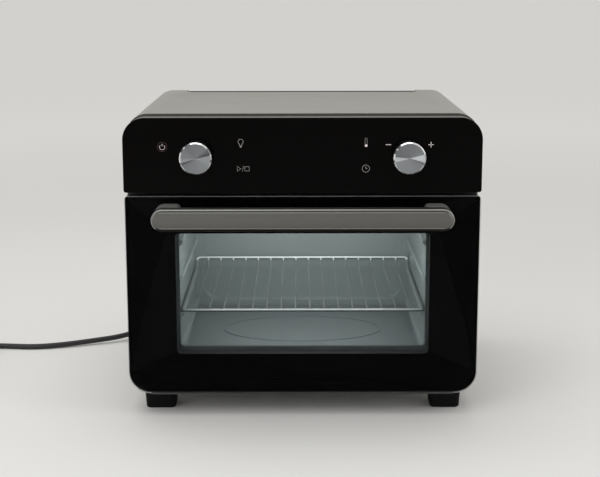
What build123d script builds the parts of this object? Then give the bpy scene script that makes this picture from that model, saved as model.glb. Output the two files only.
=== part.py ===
from build123d import *

import os
from math import pi, radians, sqrt, tan

os.makedirs("parts", exist_ok=True)

# Frame of the part: the origin lies on the table under the middle of the oven,
# +X is to the right seen from the front, the door faces -Y and +Z is up.
# All sizes are in millimetres.

# Outline of the oven
body_width = 395.0
body_depth = 336.0
corner_radius = 24.5
seam_radius = 3.0
foot_height = 22.5
door_bottom = 26.7
door_height = 226.2
panel_gap = 4.4
panel_height = 82.8
casing_reveal = 1.0
casing_rise = 2.0
handle_standoff = 48.0

# Sheet, glass and general clearances
sheet = 1.0
hem_thickness = 2.4
hem_depth = 4.0
glass_outer_thickness = 4.0
glass_inner_thickness = 3.5
panel_glass_thickness = 3.2
seat_gap = 0.3
running_gap = 0.05
push_gap = 0.02
edge_bevel = 0.8

# Door
door_thickness = 25.4
door_shell = 1.5
door_front_wall = 1.2
backing_thickness = 0.8
backing_inset = 1.2
window_side_margin = 55.5
window_height = 139.0
window_bottom = 71.8
window_radius = 4.5
rebate_margin = 12.0
tunnel_depth = 17.5
back_cover_thickness = 1.0
cover_inset = 2.5
cover_inset_low = 4.0
cover_screw_reach = 14.0
lip_height = 1.7
lip_set_back = 1.2

# Hinge
hinge_set_back = 14.0
hinge_rise = 10.0
hinge_side_margin = 39.0
hinge_pin_radius = 3.0
hinge_ear_radius = 6.0
hinge_ear_thickness = 3.0
hinge_slot_clearance = 1.5
hinge_boss_length = 5.5
hinge_boss_radius = 6.4
hinge_spring_length = 8.0
hinge_spring_turns = 4
hinge_wire_radius = 0.55
hinge_flange_width = 16.0
hinge_flange_height = 34.0
hinge_flange_rise = 6.5
hinge_flange_thickness = 1.5

# Handle
handle_end_margin = 34.5
handle_height = 23.7
handle_depth = 17.0
handle_centre_z = 234.4
handle_rim = 0.9
handle_plate_gap = 1.7
handle_plate_rise = 2.2
handle_groove = 4.0
bracket_width = 28.0
bracket_height = 21.4
handle_screw_radius = 2.0
handle_screw_spacing = 12.0
handle_screw_reach = 12.0
handle_bore_depth = 14.0
screw_head_radius = 3.8
screw_head_height = 2.4
cover_screw_radius = 3.2
cover_screw_rise = 0.7

# Control panel and knobs
housing_depth = 24.5
housing_wall = 2.0
housing_step = 4.0
front_plate_depth = 26.5
wiring_hole_width = 120.0
wiring_hole_height = 24.0
wiring_hole_radius = 4.0
knob_side_margin = 81.5
knob_z = 297.9
knob_radius = 17.6
knob_length = 22.0
knob_clearance = 0.8
knob_bevel = 1.3
knob_dish = 0.5
knob_face_thickness = 5.0
knob_wall = 3.0
knob_hub_radius = 7.0
knob_recess = 6.0
knob_shaft_radius = 3.0
bushing_radius = 4.4
encoder_size = 13.0
board_set_back = 9.5
board_thickness = 1.6
board_side_margin = 47.5
board_height = 56.0
board_post_radius = 3.0
encoder_seat = 1.5
display_width = 70.0
display_height = 24.0
touch_pad_x = 67.7
touch_pad_width = 22.0
touch_pad_height = 48.0
touch_pad_rise = 2.0

# Casing, its vents and the pressed step at the rear of the top
casing_front_depth = 26.0
casing_return = 58.0
top_step_half_width = 151.0
top_step_length = 32.0
top_step_drop = 1.2
top_step_radius = 9.0
side_vent_count = 9
side_vent_pitch = 12.0
side_vent_length = 34.0
vent_width = 4.0
rear_vent_columns = 12
rear_vent_rows = 3
rear_vent_pitch_x = 15.0
rear_vent_pitch_z = 34.0
rear_vent_length = 26.0
rear_vent_rise = 150.0
base_vent_columns = 8
base_vent_pitch = 24.0
base_vent_length = 60.0
base_vent_row_spacing = 130.0
base_plate_lap = 12.0
rear_screw_rise = 2.0
rear_screw_radius = 3.6
rear_screw_inset = 9.0
rear_screw_margin = 44.0

# Feet
foot_side_margin = 33.0
foot_width = 37.0
foot_length = 34.0
foot_radius = 7.0
foot_taper = 4.0
foot_edge_radius = 3.0
foot_front_depth = 26.0
foot_rear_margin = 22.0
foot_screw_radius = 1.9
foot_screw_head_radius = 3.9
foot_screw_head_height = 2.6
foot_screw_seat = 6.0
foot_screw_tail = 3.0

# Cavity
cavity_side_margin = 55.5
cavity_floor_z = 50.4
cavity_ceiling_z = 250.4
cavity_rear_space = 46.0
back_panel_margin = 8.5
back_panel_bottom = 64.4
back_panel_top = 238.0
back_panel_radius = 22.0
back_panel_sink = 5.0
back_panel_draft = 30.0
runner_height = 7.0
runner_reach = 4.6
runner_pitch = 42.0
runner_end_margin = 14.0
runner_edge = 1.0
lamp_depth = 72.0
lamp_drop = 33.4
lamp_radius = 20.0
lamp_flange = 6.0
lamp_body_length = 26.0
lamp_wall = 2.0
lens_rise = 5.0
lens_draft = 18.0
thermostat_margin = 22.0
thermostat_depth = 36.0
thermostat_radius = 9.0
thermostat_height = 11.0
thermostat_flange_length = 34.0
thermostat_flange_width = 12.0
blade_width = 6.3
blade_thickness = 0.8
blade_height = 8.0

# Wire rack and crumb tray
rack_z = 112.4
rack_rail_radius = 1.8
rack_wire_radius = 0.95
rack_wire_count = 16
rack_wire_margin = 14.9
rack_side_clearance = 0.8
rack_front_depth = 45.0
rack_rear_gap = 10.0
rack_rear_rise = 12.0
rack_corner_radius = 4.0
tray_clearance = 1.5
tray_height = 8.0
tray_front_gap = 1.0
tray_rear_gap = 3.0
tray_corner_radius = 6.0
tray_bead_half_width = 100.0
tray_bead_half_depth = 62.0
tray_bead_shift = 33.0
tray_bead_width = 3.0
tray_bead_height = 0.8
tray_tab_width = 30.0
tray_tab_height = 8.0

# Fan, top heater and motor
duct_radius = 92.0
duct_height = 36.0
duct_flange = 8.0
guard_radius = 95.0
guard_outer_slots = 20
guard_inner_slots = 10
fan_radius = 56.0
fan_blade_count = 10
fan_blade_height = 16.0
fan_hub_radius = 8.0
cooling_fan_radius = 42.0
cooling_blade_count = 8
cooling_blade_height = 9.0
shaft_radius = 3.0
element_ring_radius = 76.0
element_radius = 3.3
element_leg_gap = 24.0
element_drop = 18.0
element_leg_rise = 8.0
lower_half_width = 90.0
lower_front_depth = 50.0
lower_tail = 14.0
lower_bend = 30.0
motor_width = 60.0
motor_stack = 16.0
motor_length = 48.0
motor_cap_height = 5.0
bobbin_width = 30.0
bobbin_length = 22.0
bobbin_rise = 3.0
bearing_cap_radius = 9.0
bridge_width = 34.0

# Boards at the rear
board_post_height = 8.0
power_margin = 44.0
power_rise = 46.0
power_width = 96.0
power_height = 58.0
power_post_inset = 6.0
terminal_shift = 44.0
terminal_width = 34.0
terminal_height = 18.0
terminal_depth = 14.0
terminal_pitch = 10.0

# Cord
cord_radius = 3.5
relief_x = -62.0
relief_z = 52.0
relief_length = 24.0
relief_collar_radius = 9.0
relief_neck_radius = 6.5
first_run = 33.0
coil_x = -454.0
coil_start_y = 137.0
coil_radius = 42.0
coil_pitch = 8.0
coil_layer = 7.8
coil_tail = 16.0
plug_radius = 18.5
plug_height = 26.0
plug_neck_length = 22.0
plug_neck_radius = 7.0
plug_neck_taper = 3.6
plug_pin_radius = 2.4
plug_pin_length = 19.0
plug_pin_spacing = 19.0

# Places worked out from the sizes above
total_depth = body_depth + handle_standoff + rear_screw_rise
front_y = handle_standoff - total_depth / 2
rear_y = front_y + body_depth
door_top = door_bottom + door_height
window_width = body_width - 2 * window_side_margin
handle_half_length = body_width / 2 - handle_end_margin
hinge_x = body_width / 2 - hinge_side_margin
foot_x = body_width / 2 - foot_side_margin
knob_x = body_width / 2 - knob_side_margin
board_width = body_width - 2 * board_side_margin
cavity_width = body_width - 2 * cavity_side_margin
panel_bottom = door_top + panel_gap
panel_top = panel_bottom + panel_height
casing_top = panel_top + casing_rise
casing_width = body_width - 2 * casing_reveal
casing_front_y = front_y + casing_front_depth
casing_rear_y = rear_y - sheet
front_plate_y = front_y + front_plate_depth
cavity_front_y = front_plate_y + sheet
cavity_back_y = rear_y - cavity_rear_space
cavity_half = cavity_width / 2
hinge_y = front_y + hinge_set_back
hinge_z = door_bottom + hinge_rise
door_back_y = front_y + door_thickness
window_z = window_bottom + window_height / 2
fan_y = (cavity_front_y + cavity_back_y) / 2
duct_top_z = cavity_ceiling_z + sheet + duct_height


# Plane that faces the front at a given depth: its x is +X and its y is +Z.
def facing(y):
    return Plane(origin=(0, y, 0), x_dir=(1, 0, 0), z_dir=(0, -1, 0))


# Outline seen from the front, with one radius below and one above.
def front_outline(width, low, high, low_radius, high_radius):
    with BuildSketch() as outline:
        with Locations((0, (low + high) / 2)):
            Rectangle(width, high - low)
        fillet(outline.vertices().group_by(Axis.Y)[0], low_radius)
        fillet(outline.vertices().group_by(Axis.Y)[-1], high_radius)
    return outline.sketch


# Label a finished piece and write its file.
def write_piece(builder, name):
    builder.part.label = name
    export_step(builder.part, f"parts/{name}.step")


# Outer casing: one wrapped sheet with a hemmed front edge, side vents,
# a step pressed into the rear of its top, and returns under the base.
casing_outer = front_outline(casing_width, foot_height, casing_top, corner_radius, corner_radius)
casing_inner = front_outline(
    casing_width - 2 * sheet,
    foot_height + sheet,
    casing_top - sheet,
    corner_radius - sheet,
    corner_radius - sheet,
)
hem_inner = front_outline(
    casing_width - 2 * hem_thickness,
    foot_height + hem_thickness,
    casing_top - hem_thickness,
    corner_radius - hem_thickness,
    corner_radius - hem_thickness,
)
base_opening = casing_width - 2 * casing_return
top_step_y = rear_y - top_step_length
side_vent_z = cavity_ceiling_z + side_vent_length / 2 + 16.0
side_vent_y = fan_y + 30.0
foot_front_y = front_y + foot_front_depth + foot_length / 2
foot_rear_y = rear_y - foot_rear_margin - foot_length / 2
foot_places = [(x, y) for x in (-foot_x, foot_x) for y in (foot_front_y, foot_rear_y)]

with BuildPart() as outer_casing:
    with BuildSketch(facing(casing_rear_y)):
        add(casing_outer)
        add(casing_inner, mode=Mode.SUBTRACT)
        with Locations((0, foot_height)):
            Rectangle(base_opening, 4 * sheet, mode=Mode.SUBTRACT)
    extrude(amount=casing_rear_y - casing_front_y)
    with BuildSketch(facing(casing_front_y + hem_depth)):
        add(casing_outer)
        add(hem_inner, mode=Mode.SUBTRACT)
        with Locations((0, foot_height)):
            Rectangle(base_opening, 3 * hem_thickness, mode=Mode.SUBTRACT)
    extrude(amount=hem_depth)
    with BuildSketch(Plane.XY.offset(casing_top - top_step_drop - sheet)):
        with Locations((0, top_step_y + top_step_length / 2 - sheet / 2)):
            Rectangle(2 * top_step_half_width + 2 * sheet, top_step_length - sheet)
    extrude(amount=top_step_drop + sheet / 2)
    with BuildSketch(Plane.XY.offset(casing_top - top_step_drop)) as step_pocket:
        with Locations((0, top_step_y + sheet + top_step_length / 2)):
            Rectangle(2 * top_step_half_width, top_step_length)
        fillet(step_pocket.vertices().group_by(Axis.Y)[0], top_step_radius)
    extrude(amount=2 * top_step_drop, mode=Mode.SUBTRACT)
    with BuildSketch(Plane.YZ.offset(-body_width)):
        with Locations((side_vent_y, side_vent_z)):
            with GridLocations(side_vent_pitch, 1, side_vent_count, 1):
                SlotOverall(side_vent_length, vent_width, rotation=90)
    extrude(amount=2 * body_width, mode=Mode.SUBTRACT)
    with Locations(*[(x, y, foot_height) for x, y in foot_places]):
        Cylinder(foot_screw_radius + seat_gap, 4 * sheet, mode=Mode.SUBTRACT)
write_piece(outer_casing, "outer_casing")

# Rear panel: a flat sheet that closes the casing, with three rows of vent
# slots and the hole of the strain relief.
rear_vent_z = cavity_floor_z + rear_vent_rise
with BuildPart() as rear_panel:
    with BuildSketch(facing(rear_y)):
        add(casing_outer)
        with Locations((0, casing_top)):
            Rectangle(2 * top_step_half_width, 2 * top_step_drop, mode=Mode.SUBTRACT)
        with Locations((0, rear_vent_z)):
            with GridLocations(rear_vent_pitch_x, rear_vent_pitch_z, rear_vent_columns, rear_vent_rows):
                SlotOverall(rear_vent_length, vent_width, rotation=90, mode=Mode.SUBTRACT)
        with Locations((relief_x, relief_z)):
            Circle(relief_neck_radius + running_gap, mode=Mode.SUBTRACT)
    extrude(amount=sheet)
write_piece(rear_panel, "rear_panel")

# Base plate: lies on the returns of the casing, with cooling slots.
base_plate_width = base_opening + 2 * base_plate_lap
base_length = casing_rear_y - casing_front_y - hem_depth - 2 * seat_gap
base_y = (casing_rear_y + casing_front_y + hem_depth) / 2
with BuildPart() as base_plate:
    with BuildSketch(Plane.XY.offset(foot_height + sheet)):
        with Locations((0, base_y)):
            Rectangle(base_plate_width, base_length)
            with GridLocations(base_vent_pitch, base_vent_row_spacing, base_vent_columns, 2):
                SlotOverall(base_vent_length, vent_width, rotation=90, mode=Mode.SUBTRACT)
    extrude(amount=sheet)
write_piece(base_plate, "base_plate")


# One moulded foot: it narrows downwards, its lower edge is rounded and its
# screw sits in a deep counterbore.
def make_foot(x, y):
    with BuildPart() as foot:
        with BuildSketch(Plane.XY.offset(foot_height)):
            with Locations((x, y)):
                RectangleRounded(foot_width, foot_length, foot_radius)
        extrude(amount=-foot_height, taper=foot_taper)
        fillet(foot.edges().group_by(Axis.Z)[0], foot_edge_radius)
        with Locations((x, y, 0)):
            Cylinder(foot_screw_head_radius + 0.7, 2 * (foot_height - foot_screw_seat), mode=Mode.SUBTRACT)
            Cylinder(foot_screw_radius + seat_gap, 3 * foot_height, mode=Mode.SUBTRACT)
    return foot


foot_names = ["foot_front_left", "foot_rear_left", "foot_front_right", "foot_rear_right"]
for name, place in zip(foot_names, foot_places):
    write_piece(make_foot(*place), name)

# Foot screws: four pan heads up inside the feet, with shanks through the sheet.
with BuildPart() as foot_screws:
    for x, y in foot_places:
        with BuildSketch(Plane.XY.offset(foot_height - foot_screw_seat - foot_screw_head_height)):
            with Locations((x, y)):
                Circle(foot_screw_head_radius)
        extrude(amount=foot_screw_head_height)
        with BuildSketch(Plane.XY.offset(foot_height - foot_screw_seat)):
            with Locations((x, y)):
                Circle(foot_screw_radius)
        extrude(amount=foot_screw_seat + sheet + foot_screw_tail)
write_piece(foot_screws, "foot_screws")

# Front plate: the steel face behind the door, with the mouth of the cavity,
# two slots for the hinge ears and a hole for the wiring of the controls.
front_plate_outline = front_outline(
    casing_width - 2 * hem_thickness - 2 * seat_gap,
    foot_height + hem_thickness + seat_gap,
    casing_top - hem_thickness - seat_gap,
    corner_radius - hem_thickness - seat_gap,
    corner_radius - hem_thickness - seat_gap,
)
mouth_z = (cavity_floor_z + cavity_ceiling_z) / 2
mouth_height = cavity_ceiling_z - cavity_floor_z
hinge_slot_width = hinge_ear_thickness + 2 * hinge_slot_clearance
with BuildPart() as front_plate:
    with BuildSketch(facing(front_plate_y + sheet)):
        add(front_plate_outline)
        with Locations((0, mouth_z)):
            Rectangle(cavity_width, mouth_height, mode=Mode.SUBTRACT)
        with Locations((-hinge_x, hinge_z), (hinge_x, hinge_z)):
            Rectangle(
                hinge_ear_thickness + 2 * seat_gap, 2 * hinge_ear_radius + 2 * seat_gap, mode=Mode.SUBTRACT
            )
        with Locations((0, (panel_bottom + panel_top) / 2)):
            RectangleRounded(wiring_hole_width, wiring_hole_height, wiring_hole_radius, mode=Mode.SUBTRACT)
    extrude(amount=sheet)
write_piece(front_plate, "front_plate")

# Cavity: five enamelled sheets. Floor and ceiling reach over the side walls,
# and the back closes all four.
cavity_length = cavity_back_y - cavity_front_y
cavity_mid_y = (cavity_back_y + cavity_front_y) / 2
with BuildPart() as cavity_floor:
    with BuildSketch(Plane.XY.offset(cavity_floor_z - sheet)):
        with Locations((0, cavity_mid_y)):
            Rectangle(cavity_width + 2 * sheet, cavity_length)
    extrude(amount=sheet)
write_piece(cavity_floor, "cavity_floor")

element_leg_x = element_leg_gap / 2
with BuildPart() as cavity_ceiling:
    with BuildSketch(Plane.XY.offset(cavity_ceiling_z)):
        with Locations((0, cavity_mid_y)):
            Rectangle(cavity_width + 2 * sheet, cavity_length)
        with Locations((0, fan_y)):
            Circle(duct_radius, mode=Mode.SUBTRACT)
    extrude(amount=sheet)
write_piece(cavity_ceiling, "cavity_ceiling")

back_panel_width = cavity_width - 2 * back_panel_margin
back_panel_mid_z = (back_panel_bottom + back_panel_top) / 2
back_panel_height = back_panel_top - back_panel_bottom
with BuildPart() as cavity_back:
    with BuildSketch(facing(cavity_back_y + sheet)):
        with Locations((0, mouth_z)):
            Rectangle(cavity_width + 2 * sheet, mouth_height + 2 * sheet)
    extrude(amount=sheet)
    with BuildSketch(facing(cavity_back_y)):
        with Locations((0, back_panel_mid_z)):
            RectangleRounded(
                back_panel_width + 2 * sheet, back_panel_height + 2 * sheet, back_panel_radius + sheet
            )
    extrude(amount=-(back_panel_sink + sheet), taper=back_panel_draft)
    with BuildSketch(facing(cavity_back_y)):
        with Locations((0, back_panel_mid_z)):
            RectangleRounded(back_panel_width, back_panel_height, back_panel_radius)
    extrude(amount=-back_panel_sink, taper=back_panel_draft, mode=Mode.SUBTRACT)
write_piece(cavity_back, "cavity_back")

runner_top = rack_z - rack_rail_radius
runner_length = cavity_length - 2 * runner_end_margin
runner_front_y = cavity_front_y + runner_end_margin
runner_rear_y = cavity_back_y - runner_end_margin
runner_hollow_reach = runner_reach - 1.5 * sheet
runner_hollow_margin = runner_reach + 2 * sheet
lamp_y = cavity_front_y + lamp_depth
lamp_z = cavity_ceiling_z - lamp_drop


# One side wall of the cavity, with rack runners pressed inwards, their ends
# sloped. side is -1 on the left and +1 on the right.
def make_cavity_side(side, lamp_hole):
    inner_x = side * cavity_half
    ridge_x = inner_x - side * runner_reach
    beyond_x = ridge_x - side * runner_edge
    with BuildPart() as wall:
        with BuildSketch(Plane.YZ.offset(inner_x)):
            with Locations((cavity_mid_y, mouth_z)):
                Rectangle(cavity_length, mouth_height)
        extrude(amount=side * sheet)
        for level in (-1, 0, 1, 2):
            top = runner_top + level * runner_pitch
            bottom = top - runner_height
            with BuildSketch(Plane.XZ.offset(-runner_rear_y)):
                with BuildLine():
                    Polyline(
                        (inner_x, top),
                        (ridge_x + side * runner_edge, top),
                        (ridge_x, top - runner_edge),
                        (ridge_x, bottom + 3 * runner_edge),
                        (inner_x, bottom),
                        (inner_x, top),
                    )
                make_face()
            extrude(amount=runner_length)
            with BuildSketch(Plane.XY.offset(bottom - sheet)):
                for end_y, inward in ((runner_front_y, 1), (runner_rear_y, -1)):
                    with BuildLine():
                        Polyline(
                            (inner_x, end_y),
                            (beyond_x, end_y + inward * (runner_reach + runner_edge)),
                            (beyond_x, end_y - inward * sheet),
                            (inner_x, end_y - inward * sheet),
                            (inner_x, end_y),
                        )
                    make_face()
            extrude(amount=runner_height + 2 * sheet, mode=Mode.SUBTRACT)
            with BuildSketch(Plane.XZ.offset(-(runner_rear_y - runner_hollow_margin))):
                with BuildLine():
                    Polyline(
                        (inner_x + side * sheet, top - sheet),
                        (inner_x - side * runner_hollow_reach, top - sheet),
                        (inner_x - side * runner_hollow_reach, bottom + 3 * runner_edge),
                        (inner_x + side * sheet, bottom + sheet),
                        (inner_x + side * sheet, top - sheet),
                    )
                make_face()
            extrude(amount=runner_length - 2 * runner_hollow_margin, mode=Mode.SUBTRACT)
        if lamp_hole:
            with BuildSketch(Plane.YZ.offset(inner_x - 2 * sheet)):
                with Locations((lamp_y, lamp_z)):
                    Circle(lamp_radius)
            extrude(amount=4 * sheet, mode=Mode.SUBTRACT)
    return wall


write_piece(make_cavity_side(-1, False), "cavity_left")
write_piece(make_cavity_side(1, True), "cavity_right")

# Oven lamp: a ceramic holder behind the right wall and its glass lens.
lamp_seat_x = cavity_half + sheet
with BuildPart() as lamp_holder:
    with BuildSketch(Plane.YZ.offset(lamp_seat_x)):
        with Locations((lamp_y, lamp_z)):
            Circle(lamp_radius + lamp_flange)
            Circle(lamp_radius - lamp_wall, mode=Mode.SUBTRACT)
    extrude(amount=lamp_wall)
    with BuildSketch(Plane.YZ.offset(lamp_seat_x + lamp_wall)):
        with Locations((lamp_y, lamp_z)):
            Circle(lamp_radius)
    extrude(amount=lamp_body_length)
    with BuildSketch(Plane.YZ.offset(lamp_seat_x + lamp_wall)):
        with Locations((lamp_y, lamp_z)):
            Circle(lamp_radius - lamp_wall)
    extrude(amount=lamp_body_length - 2 * lamp_wall, mode=Mode.SUBTRACT)
    fillet(lamp_holder.edges().group_by(Axis.X)[-1], 1.5 * lamp_wall)
write_piece(lamp_holder, "lamp_holder")

with BuildPart() as lamp_lens:
    with BuildSketch(Plane.YZ.offset(lamp_seat_x)):
        with Locations((lamp_y, lamp_z)):
            Circle(lamp_radius - seat_gap)
    extrude(amount=-(sheet + lens_rise), taper=lens_draft)
    fillet(lamp_lens.edges().group_by(Axis.X)[0], 0.6 * lens_rise)
    with BuildSketch(Plane.YZ.offset(lamp_seat_x)):
        with Locations((lamp_y, lamp_z)):
            Circle(lamp_radius - 2 * lamp_wall)
    extrude(amount=-(sheet + lens_rise / 2), taper=lens_draft, mode=Mode.SUBTRACT)
write_piece(lamp_lens, "lamp_lens")

# Thermostat: a snap disc in a flanged can on top of the cavity, with two blades.
thermostat_x = -(cavity_half - thermostat_margin)
thermostat_y = cavity_back_y - thermostat_depth
with BuildPart() as thermostat:
    with BuildSketch(Plane.XY.offset(cavity_ceiling_z + sheet)):
        with Locations((thermostat_x, thermostat_y)):
            SlotOverall(thermostat_flange_length, thermostat_flange_width)
    extrude(amount=sheet)
    with BuildSketch(Plane.XY.offset(cavity_ceiling_z + sheet)):
        with Locations((thermostat_x, thermostat_y)):
            Circle(thermostat_radius)
    extrude(amount=thermostat_height)
    with BuildSketch(Plane.XY.offset(cavity_ceiling_z + sheet)):
        with Locations((thermostat_x, thermostat_y)):
            with GridLocations(thermostat_radius, 1, 2, 1):
                Rectangle(blade_thickness, blade_width)
    extrude(amount=thermostat_height + blade_height)
write_piece(thermostat, "thermostat")

# Wire rack: one bent rail all round, raised along the rear as a stop, with
# sixteen wires that run from the front rail up to the raised rear rail.
rack_half = cavity_half - rack_side_clearance - rack_rail_radius
rack_front_y = front_y + rack_front_depth
rack_rear_y = cavity_back_y - rack_rear_gap
rack_top_z = rack_z + rack_rear_rise
rack_wire_pitch = 2 * (rack_half - rack_wire_margin) / (rack_wire_count - 1)
with BuildPart() as wire_rack:
    with BuildLine() as rail_path:
        FilletPolyline(
            (0, rack_rear_y, rack_top_z),
            (rack_half, rack_rear_y, rack_top_z),
            (rack_half, rack_rear_y - rack_rear_rise, rack_z),
            (rack_half, rack_front_y, rack_z),
            (0, rack_front_y, rack_z),
            radius=rack_corner_radius,
        )
    with BuildSketch(Plane(origin=rail_path.line @ 0, z_dir=rail_path.line % 0)):
        Circle(rack_rail_radius)
    sweep(path=rail_path.line)
    mirror(about=Plane.YZ)
    for index in range(rack_wire_count):
        wire_x = (index - (rack_wire_count - 1) / 2) * rack_wire_pitch
        with BuildLine() as wire_path:
            FilletPolyline(
                (wire_x, rack_front_y, rack_z + rack_rail_radius),
                (wire_x, rack_rear_y - rack_rear_rise + 2.0, rack_z + rack_rail_radius),
                (wire_x, rack_rear_y - 1.0, rack_top_z),
                radius=4.0,
            )
        with BuildSketch(Plane(origin=wire_path.line @ 0, z_dir=wire_path.line % 0)):
            Circle(rack_wire_radius)
        sweep(path=wire_path.line)
write_piece(wire_rack, "wire_rack")

# Crumb tray: a shallow pressed tray on the cavity floor, with an oval bead
# and a finger tab at its front.
tray_width = cavity_width - 2 * tray_clearance
tray_length = cavity_length - tray_front_gap - tray_rear_gap
tray_front_y = cavity_front_y + tray_front_gap
tray_mid_y = tray_front_y + tray_length / 2
with BuildPart() as crumb_tray:
    with BuildSketch(Plane.XY.offset(cavity_floor_z)):
        with Locations((0, tray_mid_y)):
            RectangleRounded(tray_width, tray_length, tray_corner_radius)
    extrude(amount=tray_height)
    with BuildSketch(Plane.XY.offset(cavity_floor_z + sheet)):
        with Locations((0, tray_mid_y)):
            RectangleRounded(tray_width - 2 * sheet, tray_length - 2 * sheet, tray_corner_radius - sheet)
    extrude(amount=tray_height, mode=Mode.SUBTRACT)
    with BuildSketch(Plane.XY.offset(cavity_floor_z + sheet)):
        with Locations((0, tray_mid_y + tray_bead_shift)):
            Ellipse(tray_bead_half_width, tray_bead_half_depth)
            Ellipse(
                tray_bead_half_width - tray_bead_width,
                tray_bead_half_depth - tray_bead_width,
                mode=Mode.SUBTRACT,
            )
    extrude(amount=tray_bead_height)
    with BuildSketch(facing(tray_front_y + sheet)):
        with Locations((0, cavity_floor_z + tray_height)):
            SlotOverall(tray_tab_width, tray_tab_height)
    extrude(amount=sheet)
write_piece(crumb_tray, "crumb_tray")

# Heater duct: a round pan over the opening of the ceiling.
with BuildPart() as heater_duct:
    with BuildSketch(Plane.XY.offset(cavity_ceiling_z + sheet)):
        with Locations((0, fan_y)):
            Circle(duct_radius + duct_flange + sheet)
    extrude(amount=sheet)
    with BuildSketch(Plane.XY.offset(cavity_ceiling_z + sheet)):
        with Locations((0, fan_y)):
            Circle(duct_radius + sheet)
    extrude(amount=duct_height)
    fillet(heater_duct.edges().group_by(Axis.Z)[-1], 2 * sheet)
    with BuildSketch(Plane.XY.offset(cavity_ceiling_z)):
        with Locations((0, fan_y)):
            Circle(duct_radius)
    extrude(amount=duct_height, mode=Mode.SUBTRACT)
    with BuildSketch(Plane.XY.offset(duct_top_z - 2 * sheet)):
        with Locations((0, fan_y)):
            Circle(shaft_radius + 2.0)
        with Locations(*[(side * element_leg_x, fan_y + element_ring_radius) for side in (-1, 1)]):
            Circle(element_radius + seat_gap)
    extrude(amount=4 * sheet, mode=Mode.SUBTRACT)
write_piece(heater_duct, "heater_duct")

# Fan guard: a slotted disc under the ceiling.
with BuildPart() as fan_guard:
    with BuildSketch(Plane.XY.offset(cavity_ceiling_z - sheet)):
        with Locations((0, fan_y)):
            Circle(guard_radius)
            with PolarLocations(66.0, guard_outer_slots):
                SlotOverall(40.0, 6.0, mode=Mode.SUBTRACT)
            with PolarLocations(28.0, guard_inner_slots):
                SlotOverall(24.0, 6.0, mode=Mode.SUBTRACT)
    extrude(amount=sheet)
write_piece(fan_guard, "fan_guard")

# Top element: one tube bent into a ring round the fan, both ends turned up
# through the duct.
element_z = cavity_ceiling_z + element_drop
leg_top_z = duct_top_z + element_leg_rise
leg_bend = 3 * element_radius
rear_bend = 50.0
ring_bend = element_ring_radius - 4.0
with BuildPart() as top_element:
    with BuildLine() as element_path:
        FilletPolyline(
            (-element_leg_x, fan_y + element_ring_radius, leg_top_z),
            (-element_leg_x, fan_y + element_ring_radius, element_z),
            (-element_ring_radius, fan_y + element_ring_radius, element_z),
            (-element_ring_radius, fan_y - element_ring_radius, element_z),
            (element_ring_radius, fan_y - element_ring_radius, element_z),
            (element_ring_radius, fan_y + element_ring_radius, element_z),
            (element_leg_x, fan_y + element_ring_radius, element_z),
            (element_leg_x, fan_y + element_ring_radius, leg_top_z),
            radius=[leg_bend, rear_bend, ring_bend, ring_bend, rear_bend, leg_bend],
        )
    with BuildSketch(Plane(origin=element_path.line @ 0, z_dir=element_path.line % 0)):
        Circle(element_radius)
    sweep(path=element_path.line)
write_piece(top_element, "top_element")

# Lower element: a flat loop hidden under the cavity floor.
lower_z = cavity_floor_z - sheet - element_radius - seat_gap
with BuildPart() as lower_element:
    with BuildLine() as lower_path:
        FilletPolyline(
            (-lower_half_width, cavity_back_y + lower_tail, lower_z),
            (-lower_half_width, cavity_front_y + lower_front_depth, lower_z),
            (lower_half_width, cavity_front_y + lower_front_depth, lower_z),
            (lower_half_width, cavity_back_y + lower_tail, lower_z),
            radius=lower_bend,
        )
    with BuildSketch(Plane(origin=lower_path.line @ 0, z_dir=lower_path.line % 0)):
        Circle(element_radius)
    sweep(path=lower_path.line)
write_piece(lower_element, "lower_element")

# Motor bridge: a strap over the duct that carries the fan motor.
fan_air_gap = 18.0
bridge_z = duct_top_z + fan_air_gap
bridge_foot_x = duct_radius + 4.0
with BuildPart() as motor_bridge:
    with BuildSketch(Plane.XY.offset(bridge_z)):
        with Locations((0, fan_y)):
            Rectangle(2 * bridge_foot_x, bridge_width)
            Circle(shaft_radius + 3.0, mode=Mode.SUBTRACT)
    extrude(amount=sheet)
    for side in (-1, 1):
        with BuildSketch(Plane.XY.offset(cavity_ceiling_z + 2 * sheet)):
            with Locations((side * (bridge_foot_x - sheet / 2), fan_y)):
                Rectangle(sheet, bridge_width)
        extrude(amount=bridge_z - cavity_ceiling_z - 2 * sheet)
        with BuildSketch(Plane.XY.offset(cavity_ceiling_z + 2 * sheet)):
            with Locations((side * (bridge_foot_x + 2.0), fan_y)):
                Rectangle(4.0, bridge_width)
        extrude(amount=sheet)
write_piece(motor_bridge, "motor_bridge")

# Fan motor: laminated stack, bobbin to one side and two bearing caps.
motor_z = bridge_z + sheet + motor_cap_height
with BuildPart() as fan_motor:
    with BuildSketch(Plane.XY.offset(motor_z)):
        with Locations((0, fan_y)):
            RectangleRounded(motor_width, motor_length, 4.0)
    extrude(amount=motor_stack)
    with BuildSketch(Plane.XY.offset(motor_z - bobbin_rise)):
        with Locations((0, fan_y - motor_length / 2 + 4.0)):
            RectangleRounded(bobbin_width, bobbin_length, 3.0)
    extrude(amount=motor_stack + 2 * bobbin_rise)
    with BuildSketch(Plane.XY.offset(bridge_z + sheet)):
        with Locations((0, fan_y + 4.0)):
            Rectangle(motor_width - 8.0, 8.0)
        with Locations((0, fan_y)):
            Circle(bearing_cap_radius)
    extrude(amount=motor_stack + 2 * motor_cap_height)
    with Locations((0, fan_y, motor_z)):
        Cylinder(shaft_radius + running_gap, 4 * motor_stack, mode=Mode.SUBTRACT)
write_piece(fan_motor, "fan_motor")

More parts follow.
